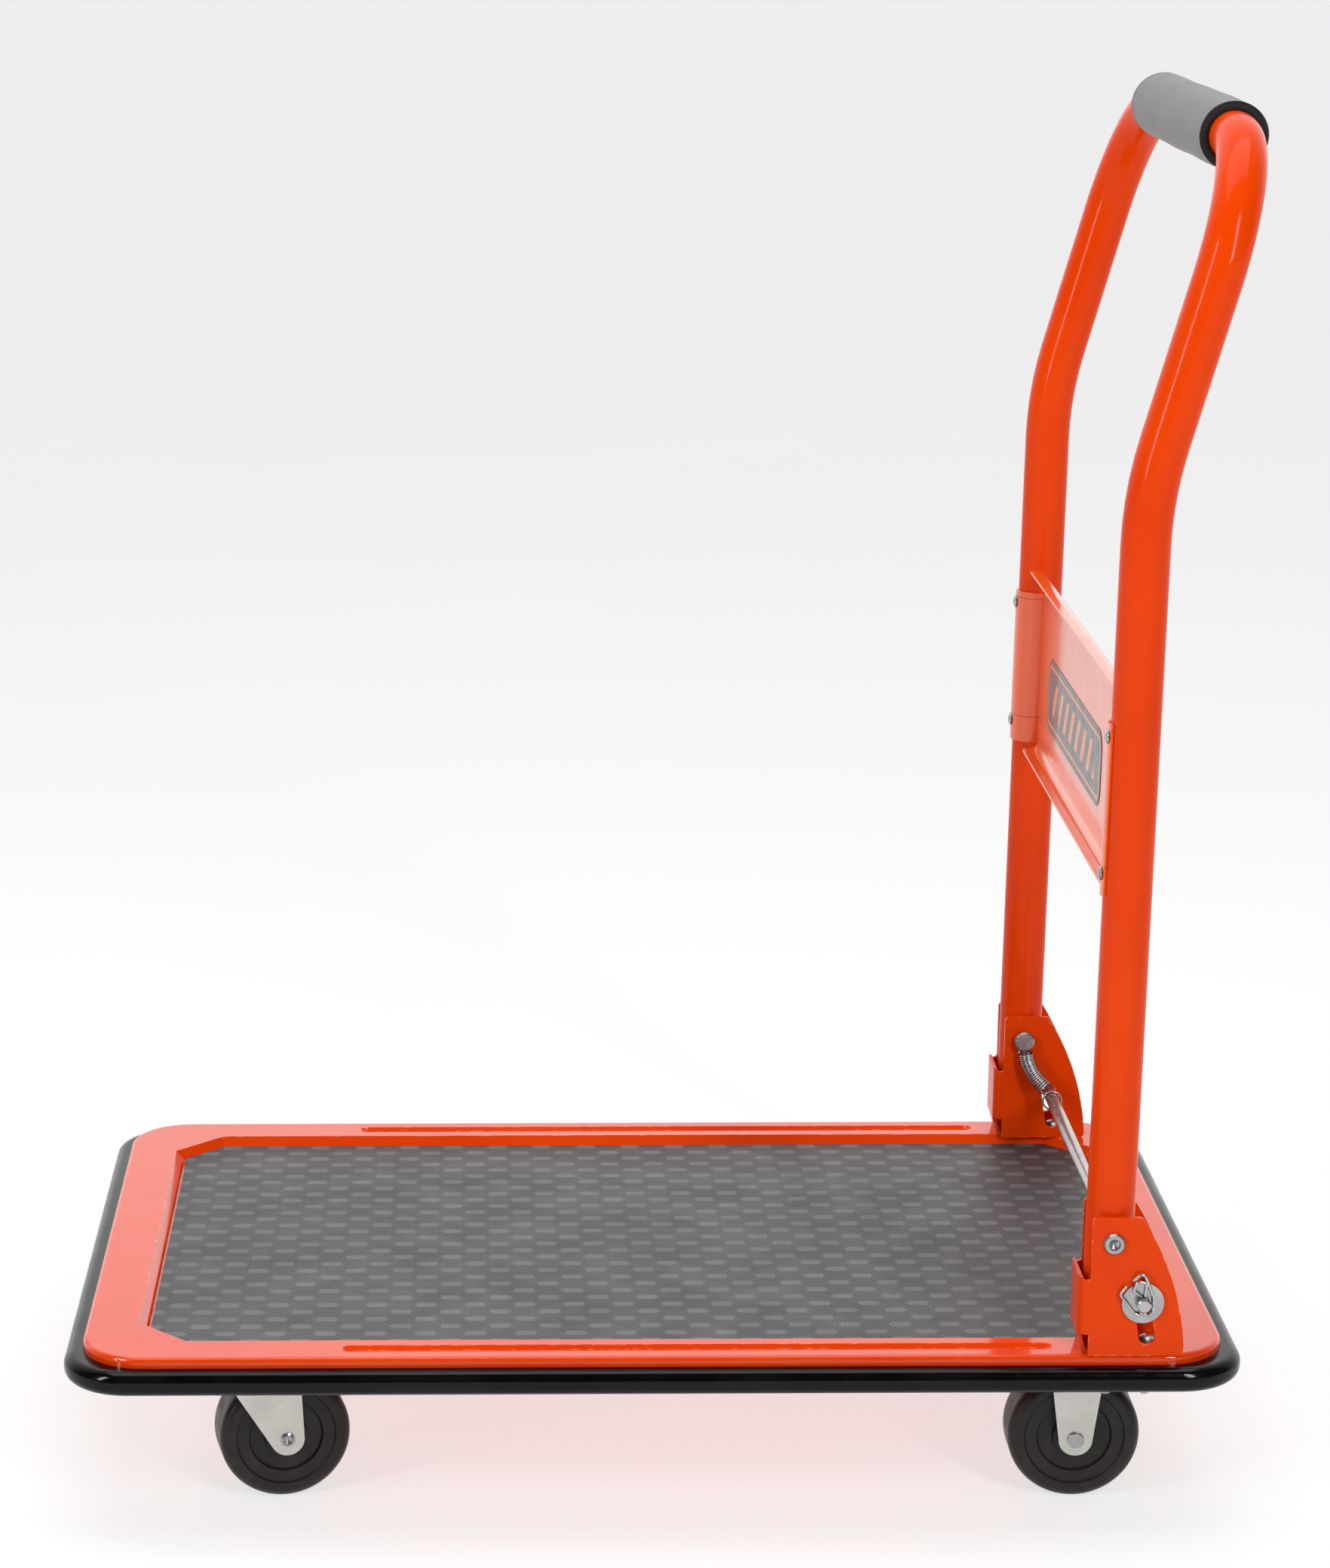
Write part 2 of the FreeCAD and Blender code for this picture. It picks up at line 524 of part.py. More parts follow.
def make_pivot_rivet(name, side):
    """Solid round head inside the bracket, a neck that takes the spring's hook, and a hollow peened end
    outside. Its own +Z points outwards from the cart and starts at the inner cheek's face."""
    end = "bracket_width + pin_clearance"
    body = turned(name, [
        ("0", "0 - pin_neck - pin_head_height"), ("pin_head / 2 - pin_edge", "0 - pin_neck - pin_head_height"),
        ("pin_head / 2", "pin_edge - pin_neck - pin_head_height"), ("pin_head / 2", "0 - pin_neck"),
        ("pin_diameter / 2", "0 - pin_neck"), ("pin_diameter / 2", end), ("pin_end / 2", end),
        ("pin_end / 2", f"{end} + pin_edge"), ("pin_end / 2 - pin_edge", f"{end} + pin_end_height"),
        ("pin_cup / 2 + pin_edge / 2", f"{end} + pin_end_height"), ("pin_cup / 2", f"{end} + pin_edge"),
        ("0", f"{end} - pin_edge"),
    ])
    body.Placement = place(V(s["pivot_x"], side * inner_face, pivot_z), X_AXIS, -90 * side)
    return keep(body, name)


# ---------------------------------------------------------------- handle

def make_handle_tube():
    """One bent tube: two posts, a kink outwards, and two round corners to the top bar. Its own origin is on
    the pivot axis, and its lower ends are rounded about that axis."""
    radius, kink = s["tube_diameter"] / 2, math.radians(s["kink_angle"])
    top_x = (s["bar_rise"] - s["kink_rise"]) * math.tan(kink)
    low = -s["tube_end_radius"] - radius
    points = [
        V(0, -post_y, low), V(0, -post_y, s["kink_rise"]), V(top_x, -post_y, s["bar_rise"]),
        V(top_x, post_y, s["bar_rise"]), V(0, post_y, s["kink_rise"]), V(0, post_y, low),
    ]
    path = tube_path(points, [s["kink_radius"], s["corner_radius"], s["corner_radius"], s["kink_radius"]])
    shape = swept(path, radius).cut(swept(path, radius - s["tube_wall"]))
    span = s["post_spacing"] + 2 * s["tube_diameter"]
    keep_round = Part.makeCylinder(s["tube_end_radius"], span, V(0, -span / 2, 0), Y_AXIS)
    below = Part.makeBox(4 * radius, span, 4 * radius, V(-2 * radius, -span / 2, -4 * radius))
    shape = shape.cut(below.cut(keep_round))
    pin = s["pin_diameter"] / 2 + s["turn_gap"]
    shape = shape.cut(Part.makeCylinder(pin, span, V(0, -span / 2, 0), Y_AXIS))
    for y, z in panel_rivet_places():
        front = V(-radius - s["tube_wall"], y, z)
        shape = shape.cut(Part.makeCylinder(s["rivet_hole"] / 2, 3 * s["tube_wall"], front, X_AXIS))
    return feature("handle_tube", shape, handle_frame)


def bar_place():
    """The top bar's middle, in the handle's own frame."""
    rise = s["bar_rise"] - s["kink_rise"]
    return V(rise * math.tan(math.radians(s["kink_angle"])), 0, s["bar_rise"])


def make_grip():
    inner, outer = "tube_diameter / 2 + soft_gap", "tube_diameter / 2 + soft_gap + grip_wall"
    body = turned("foam_grip", [
        (inner, "0 - grip_length / 2"), (outer, "0 - grip_length / 2"), (outer, "grip_length / 2"),
        (inner, "grip_length / 2"),
    ])
    body.Placement = handle_frame.multiply(place(bar_place(), X_AXIS, 90))
    return keep(body, "foam_grip")


def panel_rivet_places():
    return [(side * post_y, s[rise]) for _, side in SIDES for rise in ("rivet_low", "rivet_high")]


def make_panel():
    """The brace panel: a sheet with a lip folded forward along its top and bottom, and a tab at each side that
    wraps round the front of its post."""
    body = new_body("brace_panel")
    gauge, tight = "panel_gauge", "(lip_radius - panel_gauge)"
    high, low = "(panel_high - lip_radius)", "(panel_low + lip_radius)"
    side_view = new_sketch(body, "XZ_Plane")
    outline(side_view, [
        ("0", low), ("0", high), (f"0 - {tight}", f"{high} + {tight}"), ("0 - lip_depth", f"{high} + {tight}"),
        ("0 - lip_depth", f"{high} + lip_radius"), (f"0 - {tight}", f"{high} + lip_radius"), (gauge, high),
        (gauge, low), (f"0 - {tight}", f"{low} - lip_radius"), ("0 - lip_depth", f"{low} - lip_radius"),
        ("0 - lip_depth", f"{low} - {tight}"), (f"0 - {tight}", f"{low} - {tight}"),
    ], {1: (tight, 1), 5: ("lip_radius", -1), 7: ("lip_radius", -1), 11: (tight, 1)})
    pad(body, side_view, "panel_half * 2", centred=True)
    inner, outer = "(tube_diameter / 2 + tab_fit)", "(tube_diameter / 2 + tab_fit + panel_gauge)"
    for _, side in SIDES:
        plan = new_sketch(body, "XY_Plane", "tab_low")
        sign, bulge = ("", 1) if side > 0 else ("0 - ", -1)
        post = "post_spacing / 2"
        turn = "(tab_wrap)"
        points = [
            ("0", f"{sign}(panel_half - tab_overlap)"), ("0", f"{sign}({post} - {outer})"),
            (f"0 - {outer} * cos{turn}", f"{sign}({post} + {outer} * sin{turn})"),
            (f"0 - {inner} * cos{turn}", f"{sign}({post} + {inner} * sin{turn})"),
            ("0", f"{sign}({post} - {inner})"), (gauge, f"{sign}({post} - {inner})"),
            (gauge, f"{sign}(panel_half - tab_overlap)"),
        ]
        outline(plan, points, {1: (outer, -bulge), 3: (inner, bulge)})
        pad(body, plan, "tab_high - tab_low")
    holes = new_sketch(body, "YZ_Plane", f"0 - {outer} - 1")
    for sign in ("", "0 - "):
        for rise in ("rivet_low", "rivet_high"):
            circle(holes, f"{sign}(post_spacing / 2)", rise, "rivet_hole / 2")
    pocket(body, holes, "tube_diameter / 3", backwards=True)
    body.Placement = handle_frame
    return keep(body, "brace_panel")


def make_panel_rivets():
    """Four blind rivets through the tabs and the posts' front walls."""
    face = -(s["tube_diameter"] / 2 + s["tab_fit"] + s["panel_gauge"])
    grip = "tab_fit + panel_gauge + tube_wall + rivet_rim"
    master = turned("panel_rivet", [
        ("0", "0 - rivet_dome"), ("rivet_head / 2", "0 - rivet_rim"), ("rivet_head / 2", "0"),
        ("rivet_shank / 2", "0"), ("rivet_shank / 2", grip), ("rivet_shank / 2 + rivet_flare", grip),
        ("rivet_shank / 2", f"{grip} + rivet_tail"),
        ("0", f"{grip} + rivet_tail"),
    ], {0: (dome("rivet_head / 2", "rivet_dome - rivet_rim"), 1)})
    places = [handle_frame.multiply(place(V(face, y, z), Y_AXIS, 90)) for y, z in panel_rivet_places()]
    return group("panel_rivets", master, places)


def make_badge():
    """A plain plate with round corners on the panel's front face, stuck on nearer to its right end."""
    body = new_body("panel_badge")
    sketch = new_sketch(body, "YZ_Plane")
    corner = "badge_corner"
    left, right = "badge_shift - badge_length / 2", "badge_shift + badge_length / 2"
    low, high = "badge_rise - badge_height / 2", "badge_rise + badge_height / 2"
    outline(sketch, [
        (f"{left} + {corner}", low), (f"{right} - {corner}", low), (right, f"{low} + {corner}"),
        (right, f"{high} - {corner}"), (f"{right} - {corner}", high), (f"{left} + {corner}", high),
        (left, f"{high} - {corner}"), (left, f"{low} + {corner}"),
    ], {i: (corner, 1) for i in (1, 3, 5, 7)})
    pad(body, sketch, "badge_gauge", backwards=True)
    body.Placement = handle_frame
    return keep(body, "panel_badge")


# ---------------------------------------------------------------- release rod, washers, split pins and springs

def make_rod():
    """A round rod right across the cart, with a cross hole near each end for its split pin."""
    half = outer_face + s["rod_overhang"]
    radius = s["rod_diameter"] / 2
    rod = Part.makeCylinder(radius, 2 * half, V(0, -half, 0), Y_AXIS)
    ends = [e for e in rod.Edges if e.Curve.TypeId == "Part::GeomCircle"]
    rod = rod.makeChamfer(s["rod_chamfer"], ends)
    for _, side in SIDES:
        rod = rod.cut(Part.makeCylinder(s["pin_hole"] / 2, 3 * radius, V(0, side * pin_y(), -1.5 * radius)))
    return feature("release_rod", rod, place(V(rod_x, 0, rod_z)))


def pin_y():
    """The split pins' distance from the cart's middle plane, just outside the washers."""
    return outer_face + s["washer_gap"] + s["washer_gauge"] + s["soft_gap"] + s["wire_diameter"] / 2


def make_washers():
    bore = "rod_diameter / 2 + washer_fit"
    master = turned("rod_washer", [
        (bore, "0"), ("washer_diameter / 2", "0"), ("washer_diameter / 2", "washer_gauge"),
        (bore, "washer_gauge"),
    ])
    start = outer_face + s["washer_gap"]
    places = [place(V(rod_x, side * start, rod_z), X_AXIS, -90 * side) for _, side in SIDES]
    return group("rod_washers", master, places)


def make_split_pins():
    """A split pin through each end of the rod: an eye above it, and two legs bent round and up below it."""
    shift = s["wire_diameter"] / 2 + 0.1
    route = [
        V(-6.6, 0, 15.3), V(-0.5, 0, 21), V(5.9, 0, 5), V(6.6, 0, -4.5), V(shift, 0, -9), V(shift, 0, 6),
        V(1.6, 0, 13.6), V(-4, 0, 15), V(-6.4, 0, 9), V(-shift, 0, 4.6), V(-shift, 0, -7.4), V(-5, 0, -6.4),
        V(-14.6, 0, 6.4), V(-10.8, 0, 11.7),
    ]
    bends = [2.5, 6, 3, 1.4, 4, 2, 2.6, 2.2, 1.6, 1.4, 1.6, 1.6]
    wire = swept(tube_path(route, bends), s["wire_diameter"] / 2)
    pins = []
    for _, side in SIDES:
        pin = wire.copy()
        pin.Placement = place(V(rod_x, side * pin_y(), rod_z))
        pins.append(pin)
    return feature("split_pins", Part.makeCompound(pins))


def make_spring(name, side):
    """The space of one return spring: the coil, the hook on the pivot rivet's neck and the ring on the rod."""
    wire, ring = s["spring_wire"] / 2, s["ring_diameter"] / 2
    coil_y = side * (inner_face - s["coil_gap"] - s["coil_diameter"] / 2)
    hook_y = side * (inner_face - s["pin_neck"] / 2)
    top, low = V(s["pivot_x"], coil_y, pivot_z), V(rod_x, coil_y, rod_z)
    way = (low - top).normalize()
    start = s["pin_head"] / 2 + 2 * s["soft_gap"]
    play = ring - wire - s["rod_diameter"] / 2 - s["soft_gap"]
    eye_top = (low - top).Length - play - ring
    end = eye_top - 3 * wire
    coil = Part.makeCylinder(s["coil_diameter"] / 2, end - start, top + way * start, way)
    hook_place = V(s["pivot_x"], hook_y, pivot_z)
    neck = s["pin_diameter"] / 2 + s["soft_gap"] + wire
    hook = Part.makeTorus(neck, wire, hook_place, Y_AXIS)
    stem = Part.makeCylinder(wire, start + wire - neck, hook_place + way * neck, way)
    eye = Part.makeTorus(ring, wire, low - way * play, Y_AXIS)
    link = Part.makeCylinder(wire, eye_top - end + wire, top + way * (end - wire), way)
    return feature(name, coil.multiFuse([hook, stem, eye, link]).removeSplitter())


# ---------------------------------------------------------------- fasteners

def make_bracket_bolts():
    master = turned("bracket_bolt", [
        ("0", "0 - bolt_length"), ("bolt_diameter / 2 - thread_chamfer", "0 - bolt_length"),
        ("bolt_diameter / 2", "thread_chamfer - bolt_length"), ("bolt_diameter / 2", "0"), ("dome_diameter / 2", "0"),
        ("dome_diameter / 2", "dome_rim"), ("0", "dome_height"),
    ], {5: (dome("dome_diameter / 2", "dome_height - dome_rim"), 1)})
    rise = V(0, 0, s["bracket_gauge"])
    return group("bracket_bolts", master, [place(p + rise) for p in bracket_bolt_places()])


def hex_nut(name):
    """A hexagon nut below its own origin, with a plain bore."""
    body = new_body(name)
    sketch = new_sketch(body, "XY_Plane")
    corners = [(f"nut_flats / sqrt(3) * cos({60 * i})", f"nut_flats / sqrt(3) * sin({60 * i})")
               for i in range(6)]
    outline(sketch, corners)
    circle(sketch, "0", "0", "bolt_diameter / 2 + nut_clearance")
    pad(body, sketch, "nut_height", backwards=True)
    return body


def make_nuts_and_studs():
    nut = hex_nut("nut")
    under_rim = V(0, 0, -s["deck_gauge"])
    group("bracket_nuts", nut, [place(p + under_rim) for p in bracket_bolt_places()])
    stud = turned("stud", [
        ("0", "0 - stud_length"), ("bolt_diameter / 2 - thread_chamfer", "0 - stud_length"),
        ("bolt_diameter / 2", "thread_chamfer - stud_length"), ("bolt_diameter / 2", "0"), ("0", "0"),
    ])
    places = stud_places(s["rigid_x"]) + stud_places(s["swivel_x"])
    group("caster_studs", stud, [place(p) for p in places])
    under_plate = V(0, 0, -s["plate_gauge"])
    group("caster_nuts", nut, [place(p + under_plate) for p in places])


# ---------------------------------------------------------------- casters

def drill_plate(body, top):
    """The four stud holes of a caster plate."""
    holes = new_sketch(body, "XY_Plane", top)
    radius = "bolt_diameter / 2 + bolt_clearance"
    for i in ("", "0 - "):
        for j in ("", "0 - "):
            circle(holes, f"{i}(stud_spacing_x / 2)", f"{j}(stud_spacing_y / 2)", radius)
    pocket(body, holes, "plate_gauge")


def make_rigid_fork(name, side):
    """A plate with two tapered legs. Its own origin is on the floor under the wheel."""
    body = new_body(name)
    plate = new_sketch(body, "XY_Plane", "plate_top - plate_gauge")
    rounded_box(plate, "plate_length / 2", "plate_width / 2", "plate_corner")
    pad(body, plate, "plate_gauge")
    top = "plate_top - plate_gauge / 2"
    wide = f"(fork_end + fork_flare * ({top} - axle_rise))"
    for rise in ("fork_gap", "0 - fork_gap - fork_gauge"):
        leg = new_sketch(body, "XZ_Plane", rise)
        outline(leg, [
            (f"0 - {wide}", top), ("0 - fork_end", "axle_rise"), ("fork_end", "axle_rise"), (wide, top),
        ], {1: (None, 1)})
        pad(body, leg, "fork_gauge")
    drill_axle(body, "0")
    drill_plate(body, "plate_top")
    body.Placement = place(V(s["rigid_x"], side * s["wheel_y"], 0))
    return keep(body, name)


def drill_axle(body, x):
    hole = new_sketch(body, "XZ_Plane")
    circle(hole, x, "axle_rise", "axle_diameter / 2 + pin_clearance")
    pocket(body, hole, "fork_gap * 4", centred=True)


def race_groove(body, centre, name):
    """Cuts the balls' groove into a race."""
    sketch = new_sketch(body, "XZ_Plane")
    circle(sketch, "ball_circle", centre, "ball_diameter / 2 + ball_play")
    groove = body.newObject("PartDesign::Groove", name)
    groove.Profile = sketch
    groove.ReferenceAxis = (sketch, ["V_Axis"])
    groove.Angle = 360
    doc.recompute()


def ring(body, start, length, backwards):
    sketch = new_sketch(body, "XY_Plane", start)
    circle(sketch, "0", "0", "race_outer")
    circle(sketch, "0", "0", "race_inner")
    pad(body, sketch, length, backwards=backwards)


def make_swivel_plate(name, side):
    """The plate that a swivel caster turns under, with the upper race of its ball bearing."""
    body = new_body(name)
    plate = new_sketch(body, "XY_Plane", "race_top")
    rounded_box(plate, "plate_length / 2", "plate_width / 2", "plate_corner")
    pad(body, plate, "plate_gauge")
    ring(body, "race_top", "crown_gap / 2 - race_gap / 2", True)
    race_groove(body, "ball_centre", f"{name}_groove")
    hole = new_sketch(body, "XY_Plane", "plate_top")
    circle(hole, "0", "0", "king_diameter / 2 + pin_clearance")
    pocket(body, hole, "plate_gauge * 2")
    drill_plate(body, "plate_top")
    body.Placement = place(V(s["swivel_x"], side * s["wheel_y"], 0))
    return keep(body, name)


def make_swivel_fork(name, side):
    """The crown with the lower race, and two legs that reach back to the trailing axle. Its own origin is on
    the floor under the swivel axis, with the wheel at +X."""
    body = new_body(name)
    crown = new_sketch(body, "XY_Plane", "crown_top - crown_gauge")
    middle = "(fork_trail - race_outer) / 2"
    rounded_box(crown, "(race_outer + fork_trail) / 2", "fork_gap + fork_gauge", "crown_corner", middle)
    pad(body, crown, "crown_gauge")
    ring(body, "crown_top", "crown_gap / 2 - race_gap / 2", False)
    race_groove(body, "ball_centre", f"{name}_groove")
    top = "(crown_top - crown_gauge / 2)"
    lean = "(fork_lead + swivel_trail)"
    drop = f"({top} - axle_rise)"
    for rise in ("fork_gap", "0 - fork_gap - fork_gauge"):
        leg = new_sketch(body, "XZ_Plane", rise)
        turn = f"(atan({drop} / {lean}) + asin(fork_end / sqrt({lean} * {lean} + {drop} * {drop})))"
        across, down = f"(fork_end * sin{turn})", f"(fork_end * cos{turn})"
        outline(leg, [
            ("0 - fork_lead", top), (f"swivel_trail - {across}", f"axle_rise - {down}"),
            ("swivel_trail + fork_end", "axle_rise"), ("fork_trail", top),
        ], {1: ("fork_end", 1)})
        pad(body, leg, "fork_gauge")
    drill_axle(body, "swivel_trail")
    hole = new_sketch(body, "XY_Plane", "crown_top")
    circle(hole, "0", "0", "king_diameter / 2 + turn_gap")
    pocket(body, hole, "crown_gauge * 2", centred=True)
    body.Placement = place(V(s["swivel_x"], side * s["wheel_y"], 0), Z_AXIS, s["swivel_yaw"])
    return keep(body, name)


def make_kingpin(name, side):
    """The rivet that holds a swivel fork under its plate."""
    low = "(crown_top - crown_gauge - turn_gap)"
    body = turned(name, [
        ("0", f"{low} - king_head_height"), ("king_head / 2 - king_edge", f"{low} - king_head_height"),
        ("king_head / 2", f"{low} - king_head_height + king_edge"), ("king_head / 2", low), ("king_diameter / 2", low),
        ("king_diameter / 2", "plate_top - king_inset"), ("0", "plate_top - king_inset"),
    ])
    body.Placement = place(V(s["swivel_x"], side * s["wheel_y"], 0))
    return keep(body, name)


def make_balls(name, side):
    """The balls between a swivel caster's two races."""
    count = int(s["ball_count"])
    balls = []
    for i in range(count):
        turn = 2 * math.pi * i / count
        centre = V(s["ball_circle"] * math.cos(turn), s["ball_circle"] * math.sin(turn), s["ball_centre"])
        balls.append(Part.makeSphere(s["ball_diameter"] / 2, centre))
    return feature(name, Part.makeCompound(balls), place(V(s["swivel_x"], side * s["wheel_y"], 0)))


def wheel_place(kind, side):
    """A wheel's centre and the turn of its fork: the wheel's own Z axis is its axle and points outwards."""
    yaw = s["swivel_yaw"] if kind == "swivel" else 0
    trail = s["swivel_trail"] if kind == "swivel" else 0
    x = s["swivel_x"] if kind == "swivel" else s["rigid_x"]
    fork = place(V(x, side * s["wheel_y"], 0), Z_AXIS, yaw)
    return fork.multiply(place(V(trail, 0, s["axle_rise"]), X_AXIS, -90 * side))


def make_wheel(name, kind, side):
    """A solid tyre moulded on a stepped hub, the same on both faces."""
    half = "wheel_width / 2"
    rim, bore = "wheel_diameter / 2", "bush_diameter / 2"
    band, web = f"{half} - band_step", f"{half} - band_step - web_step"
    profile = [
        (bore, f"{half} + hub_rise"), ("hub_diameter / 2", f"{half} + hub_rise"), ("hub_diameter / 2 + hub_draft", web),
        ("web_ring / 2", web), ("web_ring / 2 + ring_draft", band), ("band_ring / 2 - ring_draft", band), ("band_ring / 2", half),
        (f"{rim} - tread_round", half), (rim, f"{half} - tread_round"),
    ]
    mirrored = [(r, f"0 - ({z})") for r, z in reversed(profile)]
    count = len(profile)
    body = turned(name, profile + mirrored, {count - 2: ("tread_round", -1), count: ("tread_round", -1)})
    body.Placement = wheel_place(kind, side)
    return keep(body, name)


def make_bush(name, kind, side):
    inner, outer = "axle_diameter / 2 + turn_gap", "bush_diameter / 2"
    half = "fork_gap - bush_play"
    body = turned(name, [(inner, f"0 - ({half})"), (outer, f"0 - ({half})"), (outer, half), (inner, half)])
    body.Placement = wheel_place(kind, side)
    return keep(body, name)


def make_axle(name, kind, side):
    """A rivet axle: a plain round head on one side and a hollow peened end on the other. The rigid forks have
    the head outside, and the swivel forks have the hollow end outside."""
    face = "(fork_gap + fork_gauge)"
    end = f"0 - {face}"
    body = turned(name, [
        ("0", f"{face} + axle_head_height"), ("axle_head / 2 - axle_edge", f"{face} + axle_head_height"),
        ("axle_head / 2", f"{face} + axle_head_height - axle_edge"), ("axle_head / 2", face),
        ("axle_diameter / 2", face), ("axle_diameter / 2", end), ("axle_head / 2 - axle_edge", end),
        ("axle_head / 2 - axle_edge", f"{end} - axle_edge"),
        ("axle_cup / 2 + axle_edge", f"{end} - axle_end_height"), ("axle_cup / 2", f"{end} - axle_edge"),
        ("0", f"{end} + axle_edge"),
    ])
    flip = place(V(0, 0, 0), X_AXIS, 180 if kind == "swivel" else 0)
    body.Placement = wheel_place(kind, side).multiply(flip)
    return keep(body, name)


# ---------------------------------------------------------------- the cart

def make_cart():
    make_deck()
    make_mat()
    make_bumper()
    make_member("rigid_cross_member", "rigid_x")
    make_member("swivel_cross_member", "swivel_x")
    for label, side in SIDES:
        make_bracket(f"{label}_hinge_bracket", side)
        make_pivot_rivet(f"{label}_pivot_rivet", side)
        make_spring(f"{label}_return_spring", side)
        make_rigid_fork(f"{label}_rigid_fork", side)
        make_swivel_plate(f"{label}_swivel_plate", side)
        make_swivel_fork(f"{label}_swivel_fork", side)
        make_kingpin(f"{label}_kingpin", side)
        make_balls(f"{label}_bearing_balls", side)
        for kind in ("rigid", "swivel"):
            make_wheel(f"{label}_{kind}_wheel", kind, side)
            make_bush(f"{label}_{kind}_bush", kind, side)
            make_axle(f"{label}_{kind}_axle", kind, side)
    make_handle_tube()
    make_grip()
    make_panel()
    make_panel_rivets()
    make_badge()
    make_rod()
    make_washers()
    make_split_pins()
    make_bracket_bolts()
    make_nuts_and_studs()


def check_and_write():
    doc.recompute()
    for part in doc.Objects:
        if "Invalid" in part.State or "Error" in part.State:
            raise ValueError(f"{part.Name} failed: {part.State}")
    for name, part in nodes.items():
        shape = part.Shape
        if shape.isNull() or not shape.isValid() or not shape.Solids:
            raise ValueError(f"{name} has no valid solid")
    os.makedirs("parts", exist_ok=True)
    for name, part in nodes.items():
        part.Shape.exportStep(f"parts/{name}.step")
        box = part.Shape.BoundBox
        print(f"{name}: {len(part.Shape.Solids)} solid(s), {part.Shape.Volume / 1000:.2f} cm3, "
              f"z {box.ZMin:.1f} to {box.ZMax:.1f}")


make_cart()
check_and_write()
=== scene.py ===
"""Looks for the folding platform cart: materials for every CAD part, and detailed pieces for the foam
grip and the two return springs. Metres, in the CAD model's own frame."""

import json
import math

import bmesh
import bpy
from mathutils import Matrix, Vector


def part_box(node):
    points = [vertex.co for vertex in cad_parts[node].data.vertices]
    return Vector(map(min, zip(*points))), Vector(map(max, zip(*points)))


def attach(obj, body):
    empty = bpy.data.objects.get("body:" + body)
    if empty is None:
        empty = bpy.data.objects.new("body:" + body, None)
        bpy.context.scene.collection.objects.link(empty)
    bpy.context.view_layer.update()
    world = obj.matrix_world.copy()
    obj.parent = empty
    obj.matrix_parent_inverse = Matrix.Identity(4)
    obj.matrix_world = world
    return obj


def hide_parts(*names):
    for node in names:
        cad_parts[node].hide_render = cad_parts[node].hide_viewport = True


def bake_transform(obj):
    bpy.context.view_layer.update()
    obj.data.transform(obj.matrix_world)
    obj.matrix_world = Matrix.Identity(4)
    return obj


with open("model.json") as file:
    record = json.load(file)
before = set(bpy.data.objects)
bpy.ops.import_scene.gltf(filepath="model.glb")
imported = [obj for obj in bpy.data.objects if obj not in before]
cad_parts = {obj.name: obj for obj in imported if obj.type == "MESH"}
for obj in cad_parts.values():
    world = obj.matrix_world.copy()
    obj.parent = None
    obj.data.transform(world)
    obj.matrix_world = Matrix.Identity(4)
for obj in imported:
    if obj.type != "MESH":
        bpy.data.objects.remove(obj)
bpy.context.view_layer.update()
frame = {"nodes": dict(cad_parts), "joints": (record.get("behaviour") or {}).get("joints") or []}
nodes = frame["nodes"]
joints = {joint["name"]: joint for joint in frame["joints"]}
MM = 0.001
SIDES = (("left", -1), ("right", 1))


# ---------------------------------------------------------------- material tools

